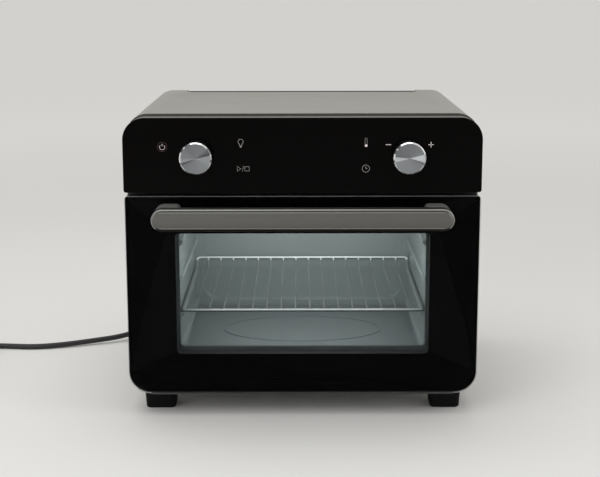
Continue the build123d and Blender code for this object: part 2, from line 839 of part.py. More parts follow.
# Shaft that carries both fans.
fan_low_z = cavity_ceiling_z + 6.0
with BuildPart() as fan_shaft:
    with BuildSketch(Plane.XY.offset(fan_low_z)):
        with Locations((0, fan_y)):
            Circle(shaft_radius)
    extrude(amount=motor_z + motor_stack + 8.0 - fan_low_z)
write_piece(fan_shaft, "fan_shaft")


# One fan: a back disc with a hub and curved blades that hang below it.
def make_fan(radius, blade_count, blade_height, disc_z, blade_width):
    with BuildPart() as fan:
        with BuildSketch(Plane.XY.offset(disc_z)):
            with Locations((0, fan_y)):
                Circle(radius)
        extrude(amount=sheet)
        with BuildSketch(Plane.XY.offset(disc_z - blade_height)):
            with BuildLine(mode=Mode.PRIVATE) as blade_arc:
                ThreePointArc(
                    (2 * fan_hub_radius, 0),
                    (0.62 * radius, -0.1 * radius),
                    (radius - 2.0, 0.06 * radius),
                )
            with Locations((0, fan_y)):
                with PolarLocations(0, blade_count):
                    SlotArc(blade_arc.edge(), blade_width)
        extrude(amount=blade_height)
        with BuildSketch(Plane.XY.offset(disc_z - 0.7 * blade_height)):
            with Locations((0, fan_y)):
                Circle(fan_hub_radius)
        extrude(amount=0.7 * blade_height + sheet)
        with Locations((0, fan_y, disc_z)):
            Cylinder(shaft_radius + push_gap, 4 * blade_height, mode=Mode.SUBTRACT)
    return fan


hot_fan_z = duct_top_z - sheet - 6.0
write_piece(make_fan(fan_radius, fan_blade_count, fan_blade_height, hot_fan_z, 1.6), "hot_air_fan")
cooling_fan_z = bridge_z - 4.0
write_piece(
    make_fan(cooling_fan_radius, cooling_blade_count, cooling_blade_height, cooling_fan_z, 1.6),
    "cooling_fan",
)

# Control housing: an open tray behind the control glass. A smaller step at
# its back stands on the front plate and leaves a shadow line round it.
housing_front_y = front_y + panel_glass_thickness
housing_back_y = front_y + housing_depth
housing_inset = 0.5
housing_outline = front_outline(
    body_width - 2 * housing_inset,
    panel_bottom + housing_inset,
    panel_top - housing_inset,
    seam_radius,
    corner_radius - housing_inset,
)
housing_hollow = front_outline(
    body_width - 2 * housing_inset - 2 * housing_wall,
    panel_bottom + housing_inset + housing_wall,
    panel_top - housing_inset - housing_wall,
    seam_radius - housing_wall + 1.0,
    corner_radius - housing_inset - housing_wall,
)
housing_foot = front_outline(
    body_width - 2 * housing_step - 2 * hem_thickness,
    panel_bottom + housing_step,
    panel_top - housing_step,
    seam_radius,
    corner_radius - housing_step,
)
panel_mid_z = (panel_bottom + panel_top) / 2
with BuildPart() as control_housing:
    with BuildSketch(facing(housing_back_y)):
        add(housing_outline)
    extrude(amount=housing_back_y - housing_front_y)
    with BuildSketch(facing(housing_back_y - housing_wall)):
        add(housing_hollow)
    extrude(amount=housing_depth, mode=Mode.SUBTRACT)
    with BuildSketch(facing(front_plate_y)):
        add(housing_foot)
        with Locations((0, panel_mid_z)):
            RectangleRounded(body_width - 80.0, panel_height - 30.0, 6.0, mode=Mode.SUBTRACT)
    extrude(amount=front_plate_y - housing_back_y)
    with BuildSketch(facing(housing_back_y)):
        with Locations((0, panel_mid_z)):
            RectangleRounded(wiring_hole_width, wiring_hole_height, wiring_hole_radius)
    extrude(amount=housing_wall, mode=Mode.SUBTRACT)
    with BuildSketch(facing(housing_back_y - housing_wall)):
        with Locations((0, knob_z)):
            with GridLocations(board_width - 12.0, board_height - 10.0, 2, 2):
                Circle(board_post_radius)
    extrude(amount=housing_back_y - housing_wall - front_y - board_set_back - board_thickness)
write_piece(control_housing, "control_housing")

# Control glass: black glass with a hole for each knob's bushing.
with BuildPart() as control_glass:
    with BuildSketch(facing(housing_front_y)):
        add(front_outline(body_width, panel_bottom, panel_top, seam_radius, corner_radius))
        with Locations((-knob_x, knob_z), (knob_x, knob_z)):
            Circle(bushing_radius + seat_gap, mode=Mode.SUBTRACT)
    extrude(amount=panel_glass_thickness)
    chamfer(control_glass.faces().sort_by(Axis.Y)[0].outer_wire().edges(), edge_bevel)
write_piece(control_glass, "control_glass")

# Control board on its four posts, with the display and the touch pads.
board_front_y = front_y + board_set_back
with BuildPart() as control_board:
    with BuildSketch(facing(board_front_y + board_thickness)):
        with Locations((0, knob_z)):
            Rectangle(board_width, board_height)
    extrude(amount=board_thickness)
    with BuildSketch(facing(board_front_y)):
        with Locations((0, knob_z)):
            Rectangle(display_width, display_height)
    extrude(amount=board_set_back - panel_glass_thickness - 0.5)
    with BuildSketch(facing(board_front_y)):
        with Locations((-touch_pad_x, knob_z), (touch_pad_x, knob_z)):
            RectangleRounded(touch_pad_width, touch_pad_height, 2.0)
    extrude(amount=touch_pad_rise)
write_piece(control_board, "control_board")


# One rotary encoder: a square can on the board and a threaded bushing.
def make_encoder(x):
    with BuildPart() as encoder:
        with BuildSketch(facing(board_front_y)):
            with Locations((x, knob_z)):
                RectangleRounded(encoder_size, encoder_size, 1.0)
        extrude(amount=board_set_back - panel_glass_thickness - encoder_seat)
        with BuildSketch(facing(board_front_y)):
            with Locations((x, knob_z)):
                Circle(bushing_radius)
        extrude(amount=board_set_back - 0.6)
        with BuildSketch(facing(board_front_y - encoder_seat)):
            with Locations((x, knob_z)):
                Circle(knob_shaft_radius + running_gap)
        extrude(amount=board_set_back, mode=Mode.SUBTRACT)
    return encoder


# One knob: turned aluminium, bevelled at the front, slightly dished, with a
# hollow back and a bore for the shaft.
def make_knob(x):
    back = front_y - knob_clearance
    front = front_y - knob_length
    with BuildPart() as knob:
        with BuildSketch(Plane(origin=(x, 0, knob_z), x_dir=(1, 0, 0), z_dir=(0, 0, 1))):
            with BuildLine():
                Polyline(
                    (0, front + knob_dish),
                    (knob_radius - knob_bevel - 1.0, front),
                    (knob_radius - knob_bevel, front),
                    (knob_radius, front + knob_bevel),
                    (knob_radius, back - 3.0),
                    (knob_radius - 0.6, back - 2.4),
                    (knob_radius - 0.6, back),
                    (knob_radius - knob_wall, back),
                    (knob_radius - knob_wall, back - knob_recess),
                    (knob_hub_radius, back - knob_recess),
                    (knob_hub_radius, back - 1.0),
                    (knob_shaft_radius + push_gap, back - 1.0),
                    (knob_shaft_radius + push_gap, front + knob_face_thickness),
                    (0, front + knob_face_thickness),
                    (0, front + knob_dish),
                )
            make_face()
        revolve(axis=Axis((x, 0, knob_z), (0, 1, 0)))
    return knob


# One encoder shaft, from its can to the bottom of the knob's bore.
def make_knob_shaft(x):
    with BuildPart() as shaft:
        with BuildSketch(facing(board_front_y - encoder_seat - seat_gap)):
            with Locations((x, knob_z)):
                Circle(knob_shaft_radius)
        extrude(amount=board_set_back - encoder_seat + knob_length - knob_face_thickness - 2 * seat_gap)
    return shaft


for side_name, side in (("left", -1), ("right", 1)):
    write_piece(make_encoder(side * knob_x), f"encoder_{side_name}")
    write_piece(make_knob(side * knob_x), f"knob_{side_name}")
    write_piece(make_knob_shaft(side * knob_x), f"knob_shaft_{side_name}")

# Power board on posts inside the rear panel, with a transformer, a relay and
# a capacitor.
power_x = cavity_half - power_margin
power_z = cavity_ceiling_z + power_rise
power_back_y = casing_rear_y - board_post_height
with BuildPart() as power_board:
    with BuildSketch(facing(power_back_y)):
        with Locations((power_x, power_z)):
            Rectangle(power_width, power_height)
    extrude(amount=board_thickness)
    with BuildSketch(facing(casing_rear_y)):
        with Locations((power_x, power_z)):
            with GridLocations(power_width - 2 * power_post_inset, power_height - 2 * power_post_inset, 2, 2):
                Circle(board_post_radius)
    extrude(amount=board_post_height)
    with BuildSketch(facing(power_back_y - board_thickness)):
        with Locations((power_x - 0.27 * power_width, power_z + 0.1 * power_height)):
            Rectangle(0.31 * power_width, 0.45 * power_height)
        with Locations((power_x + 0.21 * power_width, power_z - 0.21 * power_height)):
            Rectangle(0.2 * power_width, 0.26 * power_height)
        with Locations((power_x + 0.25 * power_width, power_z + 0.24 * power_height)):
            Circle(0.14 * power_height)
    extrude(amount=2 * board_post_height)
write_piece(power_board, "power_board")

# Terminal block for the mains lead, on the inside of the rear panel.
with BuildPart() as terminal_block:
    with BuildSketch(facing(casing_rear_y)):
        with Locations((relief_x + terminal_shift, relief_z)):
            Rectangle(terminal_width, terminal_height)
    extrude(amount=terminal_depth)
    with BuildSketch(facing(casing_rear_y - terminal_depth)):
        with Locations((relief_x + terminal_shift, relief_z)):
            with GridLocations(terminal_pitch, 1, 3, 1):
                Circle(0.3 * terminal_pitch)
    extrude(amount=0.8 * terminal_pitch, mode=Mode.SUBTRACT)
write_piece(terminal_block, "terminal_block")

# Screws of the rear panel: pan heads round its edge.
rear_screw_places = [
    (x * (casing_width / 2 - rear_screw_inset), z)
    for x in (-1, 1)
    for z in (foot_height + rear_screw_margin, (foot_height + casing_top) / 2, casing_top - rear_screw_margin)
]
with BuildPart() as rear_screws:
    with BuildSketch(facing(rear_y)):
        with Locations(*rear_screw_places):
            Circle(rear_screw_radius)
    extrude(amount=-rear_screw_rise)
    fillet(rear_screws.edges().group_by(Axis.Y)[-1], rear_screw_rise / 2)
write_piece(rear_screws, "rear_screws")


# One hinge bracket: a flange behind the front plate and an ear that reaches
# forward through its slot into the door.
def make_hinge_bracket(side):
    x = side * hinge_x
    flange_back_y = front_plate_y + sheet + hinge_flange_thickness
    with BuildPart() as bracket:
        with BuildSketch(Plane.YZ.offset(x - hinge_ear_thickness / 2)):
            with Locations((hinge_y, hinge_z)):
                Circle(hinge_ear_radius)
            with Locations(((hinge_y + flange_back_y) / 2, hinge_z)):
                Rectangle(flange_back_y - hinge_y, 2 * hinge_ear_radius)
            with Locations((hinge_y, hinge_z)):
                Circle(hinge_pin_radius + running_gap, mode=Mode.SUBTRACT)
        extrude(amount=hinge_ear_thickness)
        with BuildSketch(facing(flange_back_y)):
            with Locations((x + side * hinge_flange_width / 4, hinge_z + hinge_flange_rise)):
                RectangleRounded(hinge_flange_width, hinge_flange_height, 2.0)
        extrude(amount=hinge_flange_thickness)
    return bracket


write_piece(make_hinge_bracket(-1), "hinge_bracket_left")
write_piece(make_hinge_bracket(1), "hinge_bracket_right")

# Outer door glass: clear, bevelled at the front, drilled for the handle.
handle_screw_places = [
    (x * (handle_half_length - bracket_width / 2), handle_centre_z + z * handle_screw_spacing / 2)
    for x in (-1, 1)
    for z in (-1, 1)
]
door_outline = front_outline(body_width, door_bottom, door_top, corner_radius, seam_radius)
with BuildPart() as door_glass_outer:
    with BuildSketch(facing(front_y + glass_outer_thickness)):
        add(door_outline)
        with Locations(*handle_screw_places):
            Circle(handle_screw_radius + seat_gap, mode=Mode.SUBTRACT)
    extrude(amount=glass_outer_thickness)
    chamfer(door_glass_outer.faces().sort_by(Axis.Y)[0].outer_wire().edges(), edge_bevel)
write_piece(door_glass_outer, "door_glass_outer")

# Black backing sheet behind the outer glass, with the window cut out.
backing_y = front_y + glass_outer_thickness
with BuildPart() as door_backing:
    with BuildSketch(facing(backing_y + backing_thickness)):
        add(
            front_outline(
                body_width - 2 * backing_inset,
                door_bottom + backing_inset,
                door_top - backing_inset,
                corner_radius - backing_inset,
                seam_radius - backing_inset,
            )
        )
        with Locations((0, window_z)):
            RectangleRounded(window_width, window_height, window_radius, mode=Mode.SUBTRACT)
        with Locations(*handle_screw_places):
            Circle(handle_screw_radius + seat_gap, mode=Mode.SUBTRACT)
    extrude(amount=backing_thickness)
write_piece(door_backing, "door_backing")

# Door frame: a pressed tray, open at the back, with a tunnel round the
# window, a rounded lower back edge, hinge bosses and a thin drip lip.
frame_front_y = backing_y + backing_thickness
frame_back_y = door_back_y - back_cover_thickness
tunnel_end_y = front_y + tunnel_depth
frame_outline = front_outline(
    body_width - 2 * housing_inset,
    door_bottom,
    door_top - housing_inset,
    corner_radius - housing_inset,
    seam_radius,
)
frame_hollow = front_outline(
    body_width - 2 * housing_inset - 2 * door_shell,
    door_bottom + door_shell,
    door_top - housing_inset - door_shell,
    corner_radius - housing_inset - door_shell,
    seam_radius - door_shell,
)
rebate_width = window_width + 2 * rebate_margin
rebate_height = window_height + 2 * rebate_margin
hinge_slot_low = door_bottom - lip_height - 1.0
hinge_slot_high = hinge_z + hinge_ear_radius + 0.6
hinge_slot_front = hinge_y - hinge_ear_radius - 0.6
hinge_slot_back = door_back_y + 5.0
hinge_slot_mid_z = (hinge_slot_low + hinge_slot_high) / 2


# Profile of what is cut off the door's lower back edge, so that it turns
# about the hinge pins without touching the front plate.
def lower_edge_cut(back_y):
    with BuildPart() as cut:
        with BuildSketch(Plane.YZ.offset(-body_width)):
            with Locations((door_back_y, door_bottom)):
                Rectangle(2 * hinge_rise, 2 * hinge_rise)
            with Locations((door_back_y - hinge_rise, door_bottom + hinge_rise)):
                Circle(hinge_rise, mode=Mode.SUBTRACT)
            with Locations((back_y - 4 * hinge_rise, door_bottom)):
                Rectangle(2 * hinge_rise, 4 * hinge_rise, mode=Mode.SUBTRACT)
        extrude(amount=2 * body_width)
    return cut.part


lower_edge = lower_edge_cut(door_back_y)
lip_half_length = body_width / 2 - corner_radius - 1.0
with BuildPart() as door_frame:
    with BuildSketch(facing(frame_back_y)):
        add(frame_outline)
    extrude(amount=frame_back_y - frame_front_y)
    with BuildSketch(facing(frame_back_y)):
        add(frame_hollow)
        with Locations((0, window_z)):
            RectangleRounded(
                window_width + 2 * door_shell,
                window_height + 2 * door_shell,
                window_radius + door_shell,
                mode=Mode.SUBTRACT,
            )
    extrude(amount=frame_back_y - frame_front_y - door_front_wall, mode=Mode.SUBTRACT)
    with BuildSketch(facing(frame_back_y)):
        with Locations((0, window_z)):
            RectangleRounded(window_width, window_height, window_radius)
    extrude(amount=door_thickness, mode=Mode.SUBTRACT)
    with BuildSketch(facing(frame_back_y)):
        with Locations((0, window_z)):
            Rectangle(rebate_width, rebate_height)
    extrude(amount=frame_back_y - tunnel_end_y, mode=Mode.SUBTRACT)
    with BuildSketch(facing(front_y + 6.0)):
        with Locations((0, door_bottom - lip_height / 2)):
            Rectangle(2 * lip_half_length, lip_height)
    extrude(amount=6.0 - lip_set_back)
    add(lower_edge, mode=Mode.SUBTRACT)
    for side in (-1, 1):
        for face in (-1, 1):
            boss_x = side * hinge_x + face * (hinge_slot_width + hinge_boss_length) / 2
            with BuildSketch(Plane.YZ.offset(boss_x - hinge_boss_length / 2)):
                with Locations((hinge_y, hinge_z)):
                    Circle(hinge_boss_radius)
                with Locations(((hinge_y + frame_front_y) / 2, hinge_z)):
                    Rectangle(hinge_y - frame_front_y, 2 * hinge_boss_radius)
            extrude(amount=hinge_boss_length)
        with Locations((side * hinge_x, (hinge_slot_front + hinge_slot_back) / 2, hinge_slot_mid_z)):
            Box(
                hinge_slot_width,
                hinge_slot_back - hinge_slot_front,
                hinge_slot_high - hinge_slot_low,
                mode=Mode.SUBTRACT,
            )
        with BuildSketch(Plane.YZ.offset(side * hinge_x - 3 * hinge_slot_width)):
            with Locations((hinge_y, hinge_z)):
                Circle(hinge_pin_radius + push_gap)
        extrude(amount=6 * hinge_slot_width, mode=Mode.SUBTRACT)
    with BuildSketch(facing(frame_front_y + door_front_wall)):
        with Locations(*handle_screw_places):
            Circle(handle_screw_radius + seat_gap)
    extrude(amount=2 * door_front_wall, mode=Mode.SUBTRACT)
write_piece(door_frame, "door_frame")

# Inner door glass, held in the rebate of the frame.
with BuildPart() as door_glass_inner:
    with BuildSketch(facing(tunnel_end_y + glass_inner_thickness)):
        with Locations((0, window_z)):
            RectangleRounded(rebate_width - 2 * seat_gap, rebate_height - 2 * seat_gap, 3.0)
    extrude(amount=glass_inner_thickness)
write_piece(door_glass_inner, "door_glass_inner")

# Back cover: closes the tray of the frame and holds the inner glass. Its
# opening is a little smaller than the window, most of all at the bottom.
cover_screw_places = [
    (
        x * (rebate_width / 2 + cover_screw_reach),
        window_z + z * (rebate_height / 2 - cover_screw_reach),
    )
    for x in (-1, 1)
    for z in (-1, 0, 1)
]
cover_opening_width = window_width - 2 * cover_inset
cover_opening_height = window_height - cover_inset - cover_inset_low
cover_opening_z = window_z + (cover_inset_low - cover_inset) / 2
with BuildPart() as door_back_cover:
    with BuildSketch(facing(door_back_y)):
        add(frame_outline)
    extrude(amount=back_cover_thickness)
    with BuildSketch(facing(frame_back_y)):
        with Locations((0, window_z)):
            Rectangle(rebate_width - 2 * seat_gap, rebate_height - 2 * seat_gap)
    extrude(amount=frame_back_y - tunnel_end_y - glass_inner_thickness)
    with BuildSketch(facing(door_back_y)):
        with Locations((0, cover_opening_z)):
            RectangleRounded(cover_opening_width, cover_opening_height, window_radius)
    extrude(amount=door_thickness, mode=Mode.SUBTRACT)
    add(lower_edge, mode=Mode.SUBTRACT)
    with Locations(*[(side * hinge_x, door_back_y, hinge_slot_mid_z) for side in (-1, 1)]):
        Box(
            hinge_slot_width,
            4 * back_cover_thickness,
            hinge_slot_high - hinge_slot_low,
            mode=Mode.SUBTRACT,
        )
write_piece(door_back_cover, "door_back_cover")


# Hinge pins, with room at their outer ends for the springs that hold the door shut.
pin_inner_x = hinge_x - hinge_slot_width / 2 - hinge_boss_length
boss_outer_x = hinge_x + hinge_slot_width / 2 + hinge_boss_length
pin_outer_x = boss_outer_x + hinge_spring_length + 2 * seat_gap
with BuildPart() as hinge_pins:
    with BuildSketch(Plane.YZ.offset(pin_inner_x)):
        with Locations((hinge_y, hinge_z)):
            Circle(hinge_pin_radius)
    extrude(amount=pin_outer_x - pin_inner_x)
    mirror(about=Plane.YZ)
write_piece(hinge_pins, "hinge_pins")

# Springs: each a wound wire, close round the pin.
spring_start_x = boss_outer_x + seat_gap + hinge_wire_radius
spring_travel = hinge_spring_length - 2 * hinge_wire_radius
spring_pitch = spring_travel / hinge_spring_turns
spring_radius = hinge_pin_radius + seat_gap + hinge_wire_radius
with BuildPart() as hinge_springs:
    with BuildLine() as spring_path:
        Helix(
            spring_pitch,
            spring_travel,
            spring_radius,
            center=(spring_start_x, hinge_y, hinge_z),
            direction=(1, 0, 0),
        )
    with BuildSketch(Plane(origin=spring_path.line @ 0, z_dir=spring_path.line % 0)):
        Circle(hinge_wire_radius)
    sweep(path=spring_path.line, is_frenet=True)
    mirror(about=Plane.YZ)
write_piece(hinge_springs, "hinge_springs")
print("gap between the hinge springs' turns", round(spring_pitch - 2 * hinge_wire_radius, 2))

# Handle bar: a long stadium with a recess for its front plate.
bar_back_y = front_y - handle_standoff + handle_plate_rise + handle_depth
bar_front_y = bar_back_y - handle_depth
recess_half_length = handle_half_length - handle_rim
recess_height = handle_height - 2 * handle_rim
with BuildPart() as handle_bar:
    with BuildSketch(facing(bar_back_y)):
        with Locations((0, handle_centre_z)):
            SlotOverall(2 * handle_half_length, handle_height)
    extrude(amount=handle_depth)
    chamfer(handle_bar.faces().sort_by(Axis.Y)[0].outer_wire().edges(), handle_rim / 2)
    fillet(handle_bar.faces().sort_by(Axis.Y)[-1].outer_wire().edges(), 3.0)
    with BuildSketch(facing(bar_front_y + handle_groove)):
        with Locations((0, handle_centre_z)):
            SlotOverall(2 * recess_half_length, recess_height)
    extrude(amount=2 * handle_groove, mode=Mode.SUBTRACT)
write_piece(handle_bar, "handle_bar")

# Front plate of the handle: it stands in the recess and leaves a groove all
# round, and its front edge is bevelled.
plate_half_length = recess_half_length - handle_plate_gap
plate_height = recess_height - 2 * handle_plate_gap
with BuildPart() as handle_plate:
    with BuildSketch(facing(bar_front_y + handle_groove)):
        with Locations((0, handle_centre_z)):
            SlotOverall(2 * plate_half_length, plate_height)
    extrude(amount=handle_groove + handle_plate_rise)
    chamfer(handle_plate.faces().sort_by(Axis.Y)[0].outer_wire().edges(), edge_bevel)
write_piece(handle_plate, "handle_plate")


# One handle bracket: a post from the glass to the bar, round at its outer end.
def make_handle_bracket(side):
    outer = side * handle_half_length
    with BuildPart() as bracket:
        with BuildSketch(facing(front_y)):
            with Locations((side * (handle_half_length - bracket_width / 2), handle_centre_z)):
                Rectangle(bracket_width, bracket_height)
            with Locations((outer - side * bracket_height / 4, handle_centre_z)):
                Rectangle(bracket_height / 2, bracket_height, mode=Mode.SUBTRACT)
            with Locations((outer - side * bracket_height / 2, handle_centre_z)):
                Circle(bracket_height / 2)
        extrude(amount=front_y - bar_back_y)
        fillet(bracket.edges().filter_by(Axis.Y).group_by(Axis.X)[0 if side > 0 else -1], 4.0)
        with BuildSketch(facing(front_y)):
            with Locations(*[place for place in handle_screw_places if place[0] * side > 0]):
                Circle(handle_screw_radius + push_gap)
        extrude(amount=handle_bore_depth, mode=Mode.SUBTRACT)
    return bracket


write_piece(make_handle_bracket(-1), "handle_bracket_left")
write_piece(make_handle_bracket(1), "handle_bracket_right")

# Handle screws, driven from inside the door.
with BuildPart() as handle_screws:
    with BuildSketch(facing(frame_front_y + door_front_wall + screw_head_height)):
        with Locations(*handle_screw_places):
            Circle(screw_head_radius)
    extrude(amount=screw_head_height)
    with BuildSketch(facing(frame_front_y + door_front_wall)):
        with Locations(*handle_screw_places):
            Circle(handle_screw_radius)
    extrude(amount=frame_front_y + door_front_wall - front_y + handle_screw_reach)
write_piece(handle_screws, "handle_screws")

# Screws of the door's back cover.
with BuildPart() as door_screws:
    with BuildSketch(facing(door_back_y + cover_screw_rise)):
        with Locations(*cover_screw_places):
            Circle(cover_screw_radius)
    extrude(amount=cover_screw_rise)
write_piece(door_screws, "door_screws")

# Strain relief: collar, neck in the rear panel's hole, and a tapered sleeve
# with three grooves.
with BuildPart() as strain_relief:
    with BuildSketch(Plane(origin=(relief_x, 0, relief_z), x_dir=(1, 0, 0), z_dir=(0, 0, 1))):
        with BuildLine():
            Polyline(
                (0, rear_y - 4.0),
                (relief_neck_radius, rear_y - 4.0),
                (relief_neck_radius, rear_y),
                (relief_collar_radius, rear_y),
                (relief_collar_radius, rear_y + 3.0),
                (relief_neck_radius, rear_y + 4.0),
                (cord_radius + 1.2, rear_y + relief_length),
                (0, rear_y + relief_length),
                (0, rear_y - 4.0),
            )
        make_face()
    revolve(axis=Axis((relief_x, 0, relief_z), (0, 1, 0)))
    for index in range(3):
        groove_y = rear_y + 8.5 + 4.5 * index
        with BuildSketch(facing(groove_y + 1.5)):
            with Locations((relief_x, relief_z)):
                Circle(relief_collar_radius)
                Circle(cord_radius + 0.8, mode=Mode.SUBTRACT)
        extrude(amount=1.5, mode=Mode.SUBTRACT)
write_piece(strain_relief, "strain_relief")

# Route of the free cord, from the strain relief down to the table and away
# to the left, to the start of its coil.
cord_exit = Vector(relief_x, rear_y + relief_length, relief_z)
cord_route = [
    cord_exit,
    cord_exit + Vector(0, first_run, 0),
    cord_exit + Vector(-24.0, 57.5, -7.2),
    cord_exit + Vector(-56.5, 60.0, -16.0),
    cord_exit + Vector(-90.0, 39.5, -25.0),
    cord_exit + Vector(-122.0, 12.5, -33.5),
    cord_exit + Vector(-151.0, -18.0, -39.5),
    cord_exit + Vector(-182.0, -46.5, -44.4),
    cord_exit + Vector(-221.0, -61.5, -46.6),
    cord_exit + Vector(-260.0, -77.0, -47.9),
    Vector(relief_x - 298.0, rear_y - 62.5, cord_radius),
    Vector(relief_x - 342.0, rear_y - 56.0, cord_radius),
    Vector(coil_x + 2 * cord_radius, coil_start_y, cord_radius),
]


# Radius of each corner of a route: as large as its two runs allow.
def corner_radii(points):
    radii = []
    for before, here, after in zip(points, points[1:], points[2:]):
        run_in = here - before
        run_out = after - here
        half_turn = radians(run_in.get_angle(run_out)) / 2
        radii.append(0.45 * min(run_in.length, run_out.length) / tan(half_turn))
    return radii


route_radii = corner_radii(cord_route)
with BuildPart() as power_cord:
    with BuildLine() as cord_path:
        FilletPolyline(*cord_route, radius=route_radii)
    with BuildSketch(Plane(origin=cord_path.line @ 0, z_dir=cord_path.line % 0)):
        Circle(cord_radius)
    sweep(path=cord_path.line)
write_piece(power_cord, "power_cord")
print("cord corner radii", [round(radius, 1) for radius in route_radii])
print("free cord length", round(cord_path.wire().length, 1))
print("volume ratio", round(power_cord.part.volume / (pi * cord_radius**2 * cord_path.wire().length), 4))


# Coil of the spare cord: it spirals in on the table, climbs one layer in a
# half turn, spirals out again and leaves towards the plug.
coil_z = cord_radius
climb_radius = coil_radius - coil_pitch
turn_edges = []
coil_points = [Vector(coil_x + 2 * cord_radius, coil_start_y, coil_z)]
here = Vector(coil_x, coil_start_y, coil_z)
turn_edges.append(Line(coil_points[0], here))
heading = -1
for radius in (coil_radius, coil_radius - coil_pitch / 2):
    middle = here + Vector(heading * radius, heading * radius, 0)
    end = here + Vector(0, heading * 2 * radius, 0)
    turn_edges.append(ThreePointArc(here, middle, end))
    here = end
    heading = -heading
tilted_radius = sqrt(climb_radius**2 + (coil_layer / 2) ** 2)
climb_middle = here + Vector(heading * tilted_radius, heading * climb_radius, coil_layer / 2)
climb_end = here + Vector(0, heading * 2 * climb_radius, coil_layer)
turn_edges.append(TangentArc(here, climb_middle, tangent=Vector(heading, 0, 0)))
turn_edges.append(TangentArc(climb_middle, climb_end, tangent=turn_edges[-1] % 1))
here = climb_end
heading = -heading
middle = here + Vector(heading * (coil_radius - coil_pitch / 2), heading * (coil_radius - coil_pitch / 2), 0)
end = here + Vector(0, heading * 2 * (coil_radius - coil_pitch / 2), 0)
turn_edges.append(ThreePointArc(here, middle, end))
here = end
heading = -heading
quarter_end = here + Vector(heading * coil_radius, heading * coil_radius, 0)
turn_edges.append(TangentArc(here, quarter_end, tangent=Vector(heading, 0, 0)))
coil_end = quarter_end + Vector(0, -coil_tail, 0)
turn_edges.append(Line(quarter_end, coil_end))
coil_wire = Wire([edge.edge() for edge in turn_edges])
with BuildPart() as cord_coil:
    with BuildSketch(Plane(origin=coil_points[0], z_dir=(-1, 0, 0))):
        Circle(cord_radius)
    sweep(path=coil_wire)
write_piece(cord_coil, "cord_coil")
print("coil length", round(coil_wire.length, 1))
print("coil volume ratio", round(cord_coil.part.volume / (pi * cord_radius**2 * coil_wire.length), 4))


# Least gap of the coil to itself, measured between points along its line
# that lie more than a half turn's chord apart along the cord.
def least_self_gap(wire, radius, spacing, skip):
    count = int(wire.length / spacing)
    points = [wire @ (index / count) for index in range(count + 1)]
    least = wire.length
    for first in range(len(points)):
        for second in range(first + int(skip / spacing), len(points)):
            least = min(least, (points[first] - points[second]).length)
    return least - 2 * radius


print("least gap in the coil", round(least_self_gap(coil_wire, cord_radius, 2.0, 60.0), 2))

# Plug: a flat round angled plug lying on its back, with its two pins up and
# a ribbed neck towards the cord.
plug_centre = coil_end + Vector(0, -(plug_neck_length + plug_radius), 0)
neck_z = coil_end.Z
with BuildPart() as plug:
    with BuildSketch(Plane.XY):
        with Locations((plug_centre.X, plug_centre.Y)):
            Circle(plug_radius)
    extrude(amount=plug_height)
    fillet(plug.edges().group_by(Axis.Z)[0], 4.0)
    fillet(plug.edges().group_by(Axis.Z)[-1], 1.0)
    with BuildSketch(Plane(origin=(plug_centre.X, plug_centre.Y, neck_z), x_dir=(1, 0, 0), z_dir=(0, 1, 0))):
        Circle(plug_neck_radius)
    extrude(amount=plug_radius + plug_neck_length, taper=plug_neck_taper)
    for index in range(3):
        rib_origin = (plug_centre.X, coil_end.Y - 6.0 - 5.0 * index, neck_z)
        with BuildSketch(Plane(origin=rib_origin, x_dir=(1, 0, 0), z_dir=(0, 1, 0))):
            Circle(12.0)
            Circle(cord_radius + 0.6, mode=Mode.SUBTRACT)
        extrude(amount=1.8, mode=Mode.SUBTRACT)
    with BuildSketch(Plane.XY.offset(plug_height)):
        with Locations((plug_centre.X, plug_centre.Y)):
            with GridLocations(plug_pin_spacing, 1, 2, 1):
                Circle(plug_pin_radius)
    extrude(amount=plug_pin_length)
    fillet(plug.edges().group_by(Axis.Z)[-1], 1.2)
write_piece(plug, "plug")
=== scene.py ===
from math import cos, pi, radians, sin

import bmesh
import bpy
from mathutils import Matrix, Vector


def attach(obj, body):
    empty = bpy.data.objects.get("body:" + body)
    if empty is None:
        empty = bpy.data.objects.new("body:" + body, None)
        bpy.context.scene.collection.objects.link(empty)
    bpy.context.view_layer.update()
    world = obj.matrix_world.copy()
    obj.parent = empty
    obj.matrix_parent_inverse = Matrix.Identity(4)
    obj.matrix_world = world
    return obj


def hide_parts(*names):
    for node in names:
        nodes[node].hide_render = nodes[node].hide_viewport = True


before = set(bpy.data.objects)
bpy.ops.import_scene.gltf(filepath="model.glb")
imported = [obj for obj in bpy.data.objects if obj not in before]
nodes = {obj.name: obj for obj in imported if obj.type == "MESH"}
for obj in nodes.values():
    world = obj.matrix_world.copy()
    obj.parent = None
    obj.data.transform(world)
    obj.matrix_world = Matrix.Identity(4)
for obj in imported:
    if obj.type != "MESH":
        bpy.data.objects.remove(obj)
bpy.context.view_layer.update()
print("frame loaded:", len(nodes), "nodes")

# Camera, at the place the photograph was taken from
camera = {
    "place": (-0.00378, -1.57893, 0.49034),
    "lens": 79.016,
    "sensor": 36.0,
    "nearest": 0.01,
    # radians: towards the right, downwards, and round the line of sight
    "turn": 0.0006,
    "dip": 0.1959,
    "roll": 0.0015,
}


def cameraMatrix(spec):
    turn, dip = spec["turn"], spec["dip"]
    ahead = Vector((sin(turn) * cos(dip), cos(turn) * cos(dip), -sin(dip)))
    right = Vector((cos(turn), -sin(turn), 0.0))
    down = ahead.cross(right)
    rightRolled = right * cos(spec["roll"]) + down * sin(spec["roll"])
    downRolled = down * cos(spec["roll"]) - right * sin(spec["roll"])
    columns = Matrix((rightRolled, -downRolled, -ahead)).transposed().to_4x4()
    return Matrix.Translation(spec["place"]) @ columns


